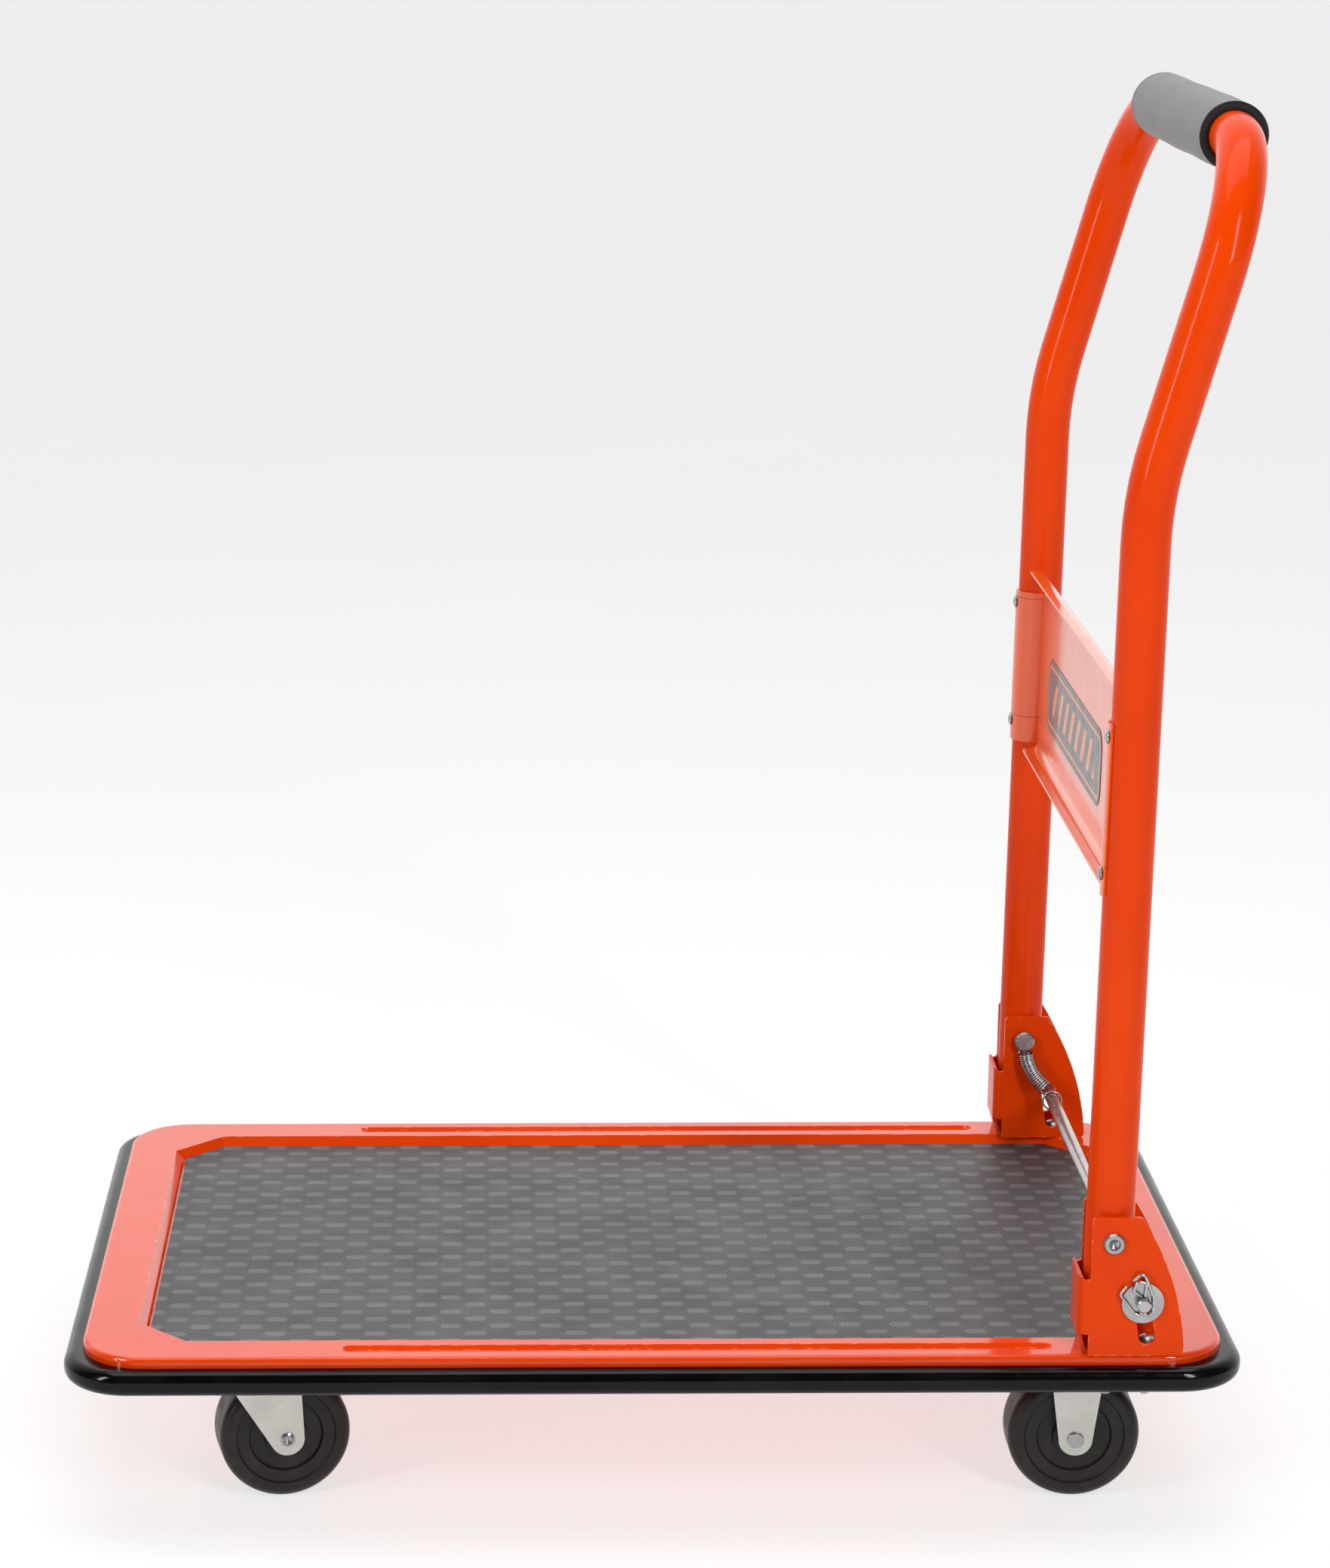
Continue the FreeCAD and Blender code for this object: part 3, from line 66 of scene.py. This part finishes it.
class Look:
    """A material's node tree, built one node at a time in the object's own coordinates."""

    def __init__(self, name):
        self.material = bpy.data.materials.new(name)
        self.material.use_nodes = True
        self.tree = self.material.node_tree
        self.shader = self.tree.nodes["Principled BSDF"]
        self.place = self.add("ShaderNodeTexCoord").outputs["Object"]

    def add(self, kind, settings=None, inputs=None):
        node = self.tree.nodes.new(kind)
        for name, value in (settings or {}).items():
            setattr(node, name, value)
        for name, value in (inputs or {}).items():
            self.feed(node.inputs[name], value)
        return node

    def feed(self, socket, value):
        if isinstance(value, bpy.types.NodeSocket):
            self.tree.links.new(value, socket)
        else:
            socket.default_value = value

    def surface(self, **values):
        """Sets sockets of the shader by name, with _ for each space."""
        for name, value in values.items():
            self.feed(self.shader.inputs[name.replace("_", " ")], value)

    def noise(self, scale, detail=2.0, roughness=0.5, stretch=(1, 1, 1), distortion=0.0):
        """Noise with this many waves a metre, stretched along the axes."""
        spread = self.add("ShaderNodeMapping", inputs={"Vector": self.place, "Scale": stretch})
        node = self.add("ShaderNodeTexNoise", inputs={
            "Vector": spread.outputs["Vector"], "Scale": scale, "Detail": detail, "Roughness": roughness,
            "Distortion": distortion})
        return node.outputs["Fac"]

    def sum(self, operation, first, second=0.0, third=0.0):
        node = self.add("ShaderNodeMath", {"operation": operation})
        for socket, value in zip(node.inputs, (first, second, third)):
            self.feed(socket, value)
        return node.outputs["Value"]

    def between(self, value, low, high, out_low=0.0, out_high=1.0):
        """Maps low..high to out_low..out_high, held at its ends."""
        node = self.add("ShaderNodeMapRange", {"clamp": True}, {
            "Value": value, "From Min": low, "From Max": high, "To Min": out_low, "To Max": out_high})
        return node.outputs["Result"]

    def blend(self, amount, first, second):
        """A colour between first and second."""
        node = self.add("ShaderNodeMix", {"data_type": "RGBA"})
        self.feed(node.inputs[0], amount)
        for socket, value in ((node.inputs[6], first), (node.inputs[7], second)):
            self.feed(socket, value if isinstance(value, bpy.types.NodeSocket) else (*value, 1.0))
        return node.outputs[2]

    def bump(self, height, depth, strength=1.0, under=None):
        """A bump of this depth in metres, on top of another one if given."""
        inputs = {"Height": height, "Distance": depth, "Strength": strength}
        if under is not None:
            inputs["Normal"] = under
        return self.add("ShaderNodeBump", inputs=inputs).outputs["Normal"]

    def axis(self, name):
        split = self.add("ShaderNodeSeparateXYZ", inputs={"Vector": self.place})
        return split.outputs[name]

    def edges(self, radius):
        """1 where an edge of this radius is convex, from the difference between round and flat normals."""
        round_normal = self.add("ShaderNodeBevel", {"samples": 4}, {"Radius": radius}).outputs["Normal"]
        flat = self.add("ShaderNodeNewGeometry").outputs["Normal"]
        dot = self.add("ShaderNodeVectorMath", {"operation": "DOT_PRODUCT"})
        self.feed(dot.inputs[0], round_normal)
        self.feed(dot.inputs[1], flat)
        return self.between(dot.outputs["Value"], 0.999, 0.93)

    def waves(self, value, pitch):
        """A sine from -1 to 1 along the value, with this pitch in metres."""
        return self.sum("SINE", self.sum("MULTIPLY", value, 2 * math.pi / pitch))


def orange_paint(name, coat):
    """Stove enamel under a clear coat of this weight: orange peel, cloudiness, and a painted highlight in
    patches along its convex edges.
    """
    look = Look(name)
    cloud = look.noise(9, 3)
    base = look.blend(look.between(cloud, 0.3, 0.7), (0.69, 0.042, 0.0003), (0.77, 0.056, 0.0005))
    # Painted highlight: convex edges turn pale orange in noise patches, standing in for the light caught along
    # sheet edges and bends.
    painted_edge_highlight = look.sum("MULTIPLY", look.edges(0.0012), look.between(look.noise(160, 3), 0.52, 0.62))
    look.surface(Base_Color=look.blend(painted_edge_highlight, base, (0.90, 0.30, 0.12)))
    scuff = look.between(look.noise(30, 5, 0.65), 0.4, 0.75, 0.20, 0.30)
    look.surface(Roughness=scuff, Coat_Weight=coat, Coat_Roughness=0.07, Specular_IOR_Level=0.05)
    peel = look.bump(look.noise(620, 2), 0.00006, 0.5)
    look.surface(Normal=look.bump(look.noise(24, 1), 0.0007, 0.25, peel))
    return look.material


def panel_paint():
    """The same enamel on the brace panel, with the pressed crease along each lip drawn as a bump and as a
    painted shade line.
    """
    look = Look("orange_enamel_panel")
    cloud = look.noise(9, 3)
    base = look.blend(look.between(cloud, 0.3, 0.7), (0.80, 0.085, 0.001), (0.88, 0.110, 0.002))
    low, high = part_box("brace_panel")
    crease_inset, crease_half = 22 * MM, 0.6 * MM
    height = look.axis("Z")
    lower = look.sum("ABSOLUTE", look.sum("SUBTRACT", height, low.z + crease_inset))
    upper = look.sum("ABSOLUTE", look.sum("SUBTRACT", height, high.z - crease_inset))
    crease = look.between(look.sum("MINIMUM", lower, upper), 0.0, crease_half, 1.0, 0.0)
    # Painted shade: the colour darkens along each crease line, standing in for the shadow in the pressed
    # crease.
    look.surface(Base_Color=look.blend(look.sum("MULTIPLY", crease, 0.5), base, (0.42, 0.035, 0.0)))
    look.surface(Roughness=look.between(look.noise(50, 5, 0.7), 0.4, 0.75, 0.30, 0.42))
    look.surface(Coat_Weight=0.8, Coat_Roughness=0.10, Specular_IOR_Level=0.5)
    peel = look.bump(look.noise(620, 2), 0.00006, 0.5)
    look.surface(Normal=look.bump(crease, -0.0006, 0.8, peel))
    return look.material


def mat_rubber():
    """Dark grey rubber sheet: groups of small pips in staggered rows, with ribbed patches between them;
    painted shade darkens the low ground between the pips and the rib grooves.
    """
    look = Look("pip_rubber")
    across, along = look.axis("X"), look.axis("Y")
    group_x, group_y, pip_x, pip_y, rib = 31.8 * MM, 25 * MM, 2.65 * MM, 2.5 * MM, 1.1 * MM
    cell_x = look.sum("SNAP", look.sum("ADD", across, pip_x / 4), pip_x / 2)
    cell_y = look.sum("SNAP", look.sum("ADD", along, pip_y / 2), pip_y)
    patches = []
    for shift_x, shift_y in ((0.5, 0.0), (0.0, 0.5)):
        u = look.sum("SUBTRACT", look.sum("DIVIDE", cell_x, group_x), shift_x)
        v = look.sum("SUBTRACT", look.sum("DIVIDE", cell_y, group_y), shift_y)
        u = look.sum("ABSOLUTE", look.sum("SUBTRACT", look.sum("FRACT", look.sum("ADD", u, 100.5)), 0.5))
        v = look.sum("ABSOLUTE", look.sum("SUBTRACT", look.sum("FRACT", look.sum("ADD", v, 100.5)), 0.5))
        slope = look.sum("ADD", look.sum("DIVIDE", u, 0.30), look.sum("DIVIDE", v, 0.27))
        reach = look.sum("MAXIMUM", look.sum("DIVIDE", u, 0.21), slope)
        patches.append(look.between(look.sum("MAXIMUM", reach, look.sum("DIVIDE", v, 0.19)), 1.001, 0.999))
    patch = look.sum("MAXIMUM", *patches)
    dots = look.sum("MULTIPLY", look.waves(across, pip_x), look.waves(along, 2 * pip_y))
    pips = look.between(dots, -0.25, 0.35)
    ribs = look.between(look.waves(across, rib), -0.7, 0.7)
    dust = look.between(look.noise(14, 4, 0.6), 0.35, 0.75)
    plain = look.blend(dust, (0.105, 0.104, 0.110), (0.135, 0.133, 0.140))
    # Painted shade: the rib grooves, where the bump sinks, are darkened in colour.
    ground = look.blend(look.sum("MULTIPLY", ribs, 0.35), plain, (0.070, 0.069, 0.073))
    # Painted shade: the low ground between the pips is near black, standing in for the shade between them.
    group = look.blend(pips, (0.018, 0.018, 0.020), (0.092, 0.091, 0.096))
    look.surface(Base_Color=look.blend(patch, group, ground))
    look.surface(Roughness=look.between(look.noise(30, 4), 0.3, 0.7, 0.38, 0.52), Specular_IOR_Level=0.35)
    height = look.sum("ADD", look.sum("MULTIPLY", pips, look.sum("SUBTRACT", 1.0, patch)),
                      look.sum("MULTIPLY", patch, look.sum("MULTIPLY_ADD", ribs, -0.15, 0.9)))
    look.surface(Normal=look.bump(height, 0.0004, 0.6))
    return look.material


def bumper_plastic():
    """Glossy black extruded strip with the long shallow waves that it takes when it is pushed on."""
    look = Look("black_strip")
    haze = look.between(look.noise(22, 5, 0.65), 0.45, 0.8)
    look.surface(Base_Color=look.blend(haze, (0.0016, 0.0014, 0.0018), (0.0050, 0.0048, 0.0056)))
    look.surface(Roughness=look.between(look.noise(70, 4, 0.6), 0.4, 0.8, 0.10, 0.26))
    look.surface(Specular_IOR_Level=0.2)
    waves = look.bump(look.noise(13, 1.5), 0.004, 0.22)
    look.surface(Normal=look.bump(look.noise(700, 2), 0.00003, 0.4, waves))
    return look.material


def wheel_rubber():
    """Hard black-brown moulded rubber with a fine grain and pale dust on its tread."""
    look = Look("hard_wheel")
    dust = look.between(look.noise(38, 6, 0.7), 0.48, 0.78)
    base = look.blend(look.noise(12, 2), (0.009, 0.007, 0.006), (0.017, 0.013, 0.012))
    look.surface(Base_Color=look.blend(look.sum("MULTIPLY", dust, 0.5), base, (0.050, 0.044, 0.040)))
    look.surface(Roughness=look.between(look.noise(90, 3), 0.35, 0.7, 0.34, 0.50), Specular_IOR_Level=0.3)
    grain = look.bump(look.noise(900, 3), 0.00010, 0.5)
    look.surface(Normal=look.bump(look.noise(60, 2), 0.0004, 0.2, grain))
    return look.material


def zinc(name, light, dark, low_rough, high_rough):
    """Zinc-plated steel: a fine spangle under a faint cloudy haze, with rolling lines in its gloss."""
    look = Look(name)
    patches = look.add("ShaderNodeTexVoronoi", {"feature": "F1"}, {"Vector": look.place, "Scale": 900.0})
    spangle = look.between(patches.outputs["Distance"], 0.1, 0.9)
    cloud = look.between(look.noise(34, 5, 0.6), 0.35, 0.65)
    tone = look.sum("MULTIPLY_ADD", spangle, 0.25, look.sum("MULTIPLY", cloud, 0.75))
    look.surface(Base_Color=look.blend(tone, dark, light))
    rolled = look.noise(130, 3, 0.5, (1, 1, 9))
    look.surface(Metallic=0.9, Roughness=look.between(rolled, 0.3, 0.7, low_rough, high_rough))
    look.surface(Normal=look.bump(look.noise(420, 3), 0.00004, 0.5))
    return look.material


def spring_wire():
    """Bright drawn wire, a little uneven in tone and gloss."""
    look = Look("drawn_wire")
    tone = look.between(look.noise(350, 3), 0.3, 0.7)
    look.surface(Base_Color=look.blend(tone, (0.36, 0.36, 0.37), (0.62, 0.62, 0.63)))
    look.surface(Metallic=1.0, Roughness=look.between(look.noise(500, 2), 0.3, 0.7, 0.16, 0.30))
    look.surface(Normal=look.bump(look.noise(1500, 2), 0.00002, 0.5))
    return look.material


def grip_foam():
    """Closed-cell foam: mid grey skin with fine cells and soft cloudy dents."""
    look = Look("cell_foam")
    cells = look.add("ShaderNodeTexVoronoi", {"feature": "F1"}, {"Vector": look.place, "Scale": 1500.0})
    pore = look.between(cells.outputs["Distance"], 0.15, 0.75)
    cloud = look.between(look.noise(45, 5, 0.6), 0.3, 0.7)
    skin = look.blend(cloud, (0.118, 0.121, 0.126), (0.165, 0.168, 0.173))
    look.surface(Base_Color=look.blend(pore, (0.095, 0.096, 0.100), skin))
    look.surface(Roughness=look.between(cloud, 0, 1, 0.62, 0.80), Specular_IOR_Level=0.35)
    look.surface(Sheen_Weight=0.25, Sheen_Roughness=0.5)
    soft = look.bump(look.noise(70, 2), 0.0006, 0.3)
    look.surface(Normal=look.bump(pore, 0.00012, 0.6, soft))
    return look.material


def cut_foam():
    """The grip's sawn ends, black and coarse."""
    look = Look("cut_foam")
    cells = look.add("ShaderNodeTexVoronoi", {"feature": "F1"}, {"Vector": look.place, "Scale": 900.0})
    pore = look.between(cells.outputs["Distance"], 0.1, 0.8)
    look.surface(Base_Color=look.blend(pore, (0.002, 0.002, 0.002), (0.010, 0.010, 0.011)))
    look.surface(Roughness=look.between(pore, 0, 1, 0.7, 0.9))
    look.surface(Normal=look.bump(pore, 0.0003, 0.7))
    return look.material


def badge_film():
    """Dark grey printed plate with a plain border line and a row of plain slanted bars."""
    look = Look("printed_film")
    low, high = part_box("panel_badge")
    middle, half = (low + high) / 2, (high - low) / 2
    y = look.sum("SUBTRACT", look.axis("Y"), middle.y)
    z = look.sum("SUBTRACT", look.axis("Z"), middle.z)
    rim, line, corner = 4.2 * MM, 2.2 * MM, 12 * MM
    sides = []
    for value, reach in ((y, half.y), (z, half.z)):
        beyond = look.sum("SUBTRACT", look.sum("ABSOLUTE", value), reach - corner)
        sides.append(look.sum("MAXIMUM", beyond, 0.0))
    squares = [look.sum("MULTIPLY", side, side) for side in sides]
    distance = look.sum("SQRT", look.sum("ADD", *squares))
    off_line = look.sum("ABSOLUTE", look.sum("SUBTRACT", distance, corner - rim - line / 2))
    border = look.between(off_line, line / 2, line / 2 - 0.3 * MM)
    slant = look.sum("ADD", y, look.sum("MULTIPLY", z, 0.6))
    bars = look.between(look.waves(slant, 26 * MM), 0.25, 0.33)
    inside_y = look.between(look.sum("ABSOLUTE", y), half.y - 26 * MM, half.y - 26.5 * MM)
    inside_z = look.between(look.sum("ABSOLUTE", z), half.z - 13 * MM, half.z - 13.4 * MM)
    shape = look.sum("MULTIPLY", bars, look.sum("MULTIPLY", inside_y, inside_z))
    mark = look.sum("MAXIMUM", border, shape)
    wear = look.between(look.noise(120, 4, 0.7), 0.6, 0.75)
    ink = look.blend(look.sum("MULTIPLY", wear, 0.4), (0.058, 0.060, 0.062), (0.13, 0.11, 0.10))
    look.surface(Base_Color=look.blend(mark, ink, (0.80, 0.22, 0.08)))
    look.surface(Roughness=look.between(look.noise(80, 4), 0.3, 0.7, 0.30, 0.42), Coat_Weight=0.3)
    look.surface(Normal=look.bump(look.noise(600, 2), 0.00004, 0.5))
    return look.material


def bush_plastic():
    """Natural nylon of the wheel bushes: off-white and faintly mottled."""
    look = Look("natural_nylon")
    tone = look.noise(60, 3)
    look.surface(Base_Color=look.blend(tone, (0.60, 0.57, 0.50), (0.72, 0.70, 0.64)))
    look.surface(Roughness=look.between(look.noise(140, 3), 0.3, 0.7, 0.42, 0.58), Subsurface_Weight=0.05)
    look.surface(Normal=look.bump(look.noise(800, 2), 0.00005, 0.5))
    return look.material


def pale_floor():
    """A plain pale floor that glows a little, so that it stays light under the soft boxes."""
    look = Look("pale_floor")
    tone = look.noise(3, 2)
    look.surface(Base_Color=look.blend(tone, (0.34, 0.34, 0.34), (0.36, 0.36, 0.36)))
    look.surface(Emission_Color=(1.0, 1.0, 1.0, 1.0), Emission_Strength=0.66, Specular_IOR_Level=0.1)
    look.surface(Roughness=look.between(tone, 0.3, 0.7, 0.75, 0.85))
    return look.material


# ---------------------------------------------------------------- mesh tools

def new_object(name, mesh, material):
    """A smooth-shaded object of this mesh, linked into the scene."""
    piece = bpy.data.objects.new(name, mesh)
    bpy.context.scene.collection.objects.link(piece)
    mesh.materials.append(material)
    for polygon in mesh.polygons:
        polygon.use_smooth = True
    return piece


def tube_mesh(name, route, radius, sides=10):
    """A round wire of this radius along a list of points, with closed ends."""
    bm = bmesh.new()
    rings = []
    across = Vector((0, 1, 0))
    for i, point in enumerate(route):
        ahead = route[min(i + 1, len(route) - 1)] - route[max(i - 1, 0)]
        tangent = ahead.normalized()
        across = (across - tangent * across.dot(tangent))
        across = across.normalized() if across.length > 1e-6 else tangent.orthogonal().normalized()
        other = tangent.cross(across)
        ring = []
        for k in range(sides):
            turn = 2 * math.pi * k / sides
            ring.append(bm.verts.new(point + radius * (math.cos(turn) * across + math.sin(turn) * other)))
        rings.append(ring)
    for first, second in zip(rings, rings[1:]):
        for k in range(sides):
            bm.faces.new((first[k], first[(k + 1) % sides], second[(k + 1) % sides], second[k]))
    bm.faces.new(list(reversed(rings[0])))
    bm.faces.new(rings[-1])
    bmesh.ops.recalc_face_normals(bm, faces=bm.faces)
    mesh = bpy.data.meshes.new(name)
    bm.to_mesh(mesh)
    bm.free()
    return mesh


def smooth_route(points, steps):
    """A curve through the points (Catmull-Rom), with this many steps between each pair."""
    padded = [points[0] * 2 - points[1], *points, points[-1] * 2 - points[-2]]
    route = []
    for a, b, c, d in zip(padded, padded[1:], padded[2:], padded[3:]):
        for k in range(steps):
            t = k / steps
            route.append(0.5 * (2 * b + (c - a) * t + (2 * a - 5 * b + 4 * c - d) * t ** 2
                                + (3 * b - a - 3 * c + d) * t ** 3))
    route.append(points[-1])
    return route


# ---------------------------------------------------------------- pieces

def make_grip(skin, cut):
    """The foam sleeve: slightly fuller in the middle, rolled over at its sawn ends, with soft dents."""
    low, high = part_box("foam_grip")
    centre, half = (low + high) / 2, (high.y - low.y) / 2
    outer = (high.z - low.z) / 2
    wall, lip, turns, runs = 6 * MM, 0.7 * MM, 72, 64
    bore = outer - wall
    profile = [(bore, -half, 1), (bore + 0.35 * (outer - bore), -half + 0.2 * MM, 1), (outer - lip, -half, 1)]
    profile += [(outer - lip + lip * math.sin(a), -half + lip - lip * math.cos(a), 0)
                for a in (0.4, 0.8, 1.2)]
    for i in range(runs + 1):
        along = -half + lip + (2 * half - 2 * lip) * i / runs
        profile.append((outer - 0.25 * MM * (along / half) ** 4, along, 0))
    profile += [(outer - lip + lip * math.sin(a), half - lip + lip * math.cos(a), 0) for a in (1.2, 0.8, 0.4)]
    profile += [(outer - lip, half, 1), (bore + 0.35 * (outer - bore), half - 0.2 * MM, 1), (bore, half, 1)]
    bm = bmesh.new()
    rings = []
    for radius, along, _ in profile:
        ring = []
        for k in range(turns):
            turn = 2 * math.pi * k / turns
            dent = 0.0
            if radius > outer - 0.5 * MM:
                dent = 0.16 * MM * (math.sin(3 * turn + 41 * along) + math.sin(2 * turn - 67 * along) - 2)
            place = Vector(((radius + dent) * math.cos(turn), along, (radius + dent) * math.sin(turn)))
            ring.append(bm.verts.new(centre + place))
        rings.append(ring)
    rings.append(rings[0])
    for i, (first, second) in enumerate(zip(rings, rings[1:])):
        is_cut = i >= len(profile) - 1 or (profile[i][2] and profile[i + 1][2])
        for k in range(turns):
            face = bm.faces.new((first[k], first[(k + 1) % turns], second[(k + 1) % turns], second[k]))
            face.material_index = 1 if is_cut else 0
    bmesh.ops.recalc_face_normals(bm, faces=bm.faces)
    mesh = bpy.data.meshes.new("grip_sleeve")
    bm.to_mesh(mesh)
    bm.free()
    grip = new_object("grip_sleeve", mesh, skin)
    mesh.materials.append(cut)
    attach(grip, "handle")
    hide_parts("foam_grip")


def make_spring(label, side, wire_look):
    """A tension spring: hook round the pivot rivet's neck, close coils that bow, and a ring on the rod."""
    pivot = Vector(joints["handle_fold"]["pos_m"])
    low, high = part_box("release_rod")
    rod = (low + high) / 2
    far = max(abs(corner.y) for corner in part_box(f"{label}_return_spring"))
    wire, coil_radius, turns, per_turn = 0.67 * MM, 4.75 * MM, 18, 16
    coil_y, ring_y = side * (far - 5.8 * MM), side * (far - 18 * MM)
    hook = Vector((pivot.x, side * (far - wire), pivot.z))
    ring = Vector((rod.x, ring_y, rod.z - 1.2 * MM))
    hook_radius, ring_radius = 5.95 * MM, 6.6 * MM
    points = []
    for k in range(11):
        turn = math.radians(-40 + 250 * k / 10)
        points.append(hook + hook_radius * Vector((math.sin(turn), 0, math.cos(turn))))
    start = Vector((pivot.x + 1.2 * MM, coil_y, pivot.z - 8.0 * MM))
    bow = Vector((pivot.x + 2.4 * MM, coil_y, pivot.z - 21.5 * MM))
    end = ring + Vector((-4.6 * MM, side * 3.0 * MM, 8.0 * MM))
    across_y = Vector((0, side, 0))
    for k in range(turns * per_turn + 1):
        t = k / (turns * per_turn)
        middle = start * (1 - t) ** 2 + bow * 2 * t * (1 - t) + end * t ** 2
        tangent = ((bow - start) * (1 - t) + (end - bow) * t).normalized()
        out = across_y.cross(tangent).normalized()
        turn = 2 * math.pi * turns * t
        points.append(middle + coil_radius * (math.cos(turn) * out + math.sin(turn) * tangent.cross(out)))
    for k in range(14):
        turn = math.radians(-35 + 350 * k / 13)
        slip = Vector((0, -side * 1.3 * MM * k / 13, 0))
        points.append(ring + slip + ring_radius * Vector((math.sin(turn), 0, math.cos(turn))))
    mesh = tube_mesh(f"{label}_coil_spring", smooth_route(points, 2), wire, 8)
    spring = new_object(f"{label}_coil_spring", mesh, wire_look)
    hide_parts(f"{label}_return_spring")
    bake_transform(spring)


def make_floor(look):
    half_side = 40
    bm = bmesh.new()
    bmesh.ops.create_grid(bm, x_segments=2, y_segments=2, size=half_side)
    mesh = bpy.data.meshes.new("floor")
    bm.to_mesh(mesh)
    bm.free()
    new_object("floor", mesh, look)


# ---------------------------------------------------------------- camera and light

def make_camera():
    """The photograph's own viewpoint: standing at the long side, a little above the deck."""
    data = bpy.data.cameras.new("camera")
    data.lens = 91.7
    data.sensor_width = 36
    data.shift_x, data.shift_y = 0.0946, 0.0772
    camera = bpy.data.objects.new("camera", data)
    bpy.context.scene.collection.objects.link(camera)
    yaw, pitch = 0.01045, 0.26987
    camera.location = (-0.1100, -2.5432, 1.0466)
    camera.rotation_euler = (math.pi / 2 - pitch, 0, -yaw)
    bpy.context.scene.camera = camera


def make_light(name, place, aim, width, height, power, tint=(1, 1, 1)):
    data = bpy.data.lights.new(name, "AREA")
    data.shape = "RECTANGLE"
    data.size, data.size_y, data.energy, data.color = width, height, power, tint
    light = bpy.data.objects.new(name, data)
    bpy.context.scene.collection.objects.link(light)
    light.location = place
    light.rotation_euler = (Vector(aim) - Vector(place)).to_track_quat("-Z", "Y").to_euler()


def make_lights():
    """Bright walls behind, a dark room in front, three soft boxes, and a backdrop that always looks bright."""
    world = bpy.data.worlds.new("studio")
    world.use_nodes = True
    tree = world.node_tree
    background = tree.nodes["Background"]
    direction = tree.nodes.new("ShaderNodeTexCoord")
    split = tree.nodes.new("ShaderNodeSeparateXYZ")
    tree.links.new(direction.outputs["Generated"], split.inputs["Vector"])
    depth = tree.nodes.new("ShaderNodeMapRange")
    depth.inputs["From Min"].default_value = 0.0
    depth.inputs["From Max"].default_value = 0.75
    depth.inputs["To Min"].default_value = 0.06
    depth.inputs["To Max"].default_value = 1.35
    tree.links.new(split.outputs["Y"], depth.inputs["Value"])
    seen = tree.nodes.new("ShaderNodeMath")
    seen.operation = "MAXIMUM"
    tree.links.new(depth.outputs["Result"], seen.inputs[0])
    tree.links.new(tree.nodes.new("ShaderNodeLightPath").outputs["Is Camera Ray"], seen.inputs[1])
    tree.links.new(seen.outputs["Value"], background.inputs["Strength"])
    background.inputs["Color"].default_value = (1, 1, 1, 1)
    scene = bpy.context.scene
    scene.world = world
    scene.view_settings.view_transform = "Standard"
    make_light("top_box", (0.0, 0.1, 2.7), (0, 0, 0.1), 2.4, 1.4, 30)
    make_light("front_box", (1.5, -2.7, 2.0), (0.15, 0, 0.45), 0.35, 2.0, 52)
    make_light("left_box", (-2.2, -1.8, 1.6), (0.1, 0, 0.4), 0.25, 1.8, 40)


# ---------------------------------------------------------------- the whole scene

def dress(look, *names):
    """Gives CAD nodes this material in place of their plain one."""
    for name in names:
        mesh = nodes[name].data
        mesh.materials.clear()
        mesh.materials.append(look)


def both(*names):
    """The left and the right node of each name."""
    return [f"{label}_{name}" for label, _ in SIDES for name in names]


def dress_cart():
    dress(orange_paint("orange_deck", 0.8), "deck_pan", "rigid_cross_member", "swivel_cross_member")
    dress(orange_paint("orange_enamel", 0.12), "handle_tube", *both("hinge_bracket"))
    dress(panel_paint(), "brace_panel")
    dress(mat_rubber(), "anti_slip_mat")
    dress(bumper_plastic(), "edge_bumper")
    dress(wheel_rubber(), *both("rigid_wheel", "swivel_wheel"))
    dress(zinc("zinc_sheet", (0.66, 0.65, 0.60), (0.50, 0.50, 0.46), 0.30, 0.44),
          *both("rigid_fork", "swivel_fork", "swivel_plate"))
    dress(zinc("plated_steel", (0.50, 0.50, 0.49), (0.33, 0.33, 0.34), 0.20, 0.34),
          "release_rod", "rod_washers", "bracket_bolts", "bracket_nuts", "caster_studs", "caster_nuts",
          "panel_rivets", *both("pivot_rivet", "rigid_axle", "swivel_axle", "kingpin", "bearing_balls"))
    wire = spring_wire()
    dress(wire, "split_pins", *both("return_spring"))
    dress(badge_film(), "panel_badge")
    dress(bush_plastic(), *both("rigid_bush", "swivel_bush"))
    foam = grip_foam()
    dress(foam, "foam_grip")
    make_grip(foam, cut_foam())
    for label, side in SIDES:
        make_spring(label, side, wire)


dress_cart()
make_floor(pale_floor())
make_camera()
make_lights()
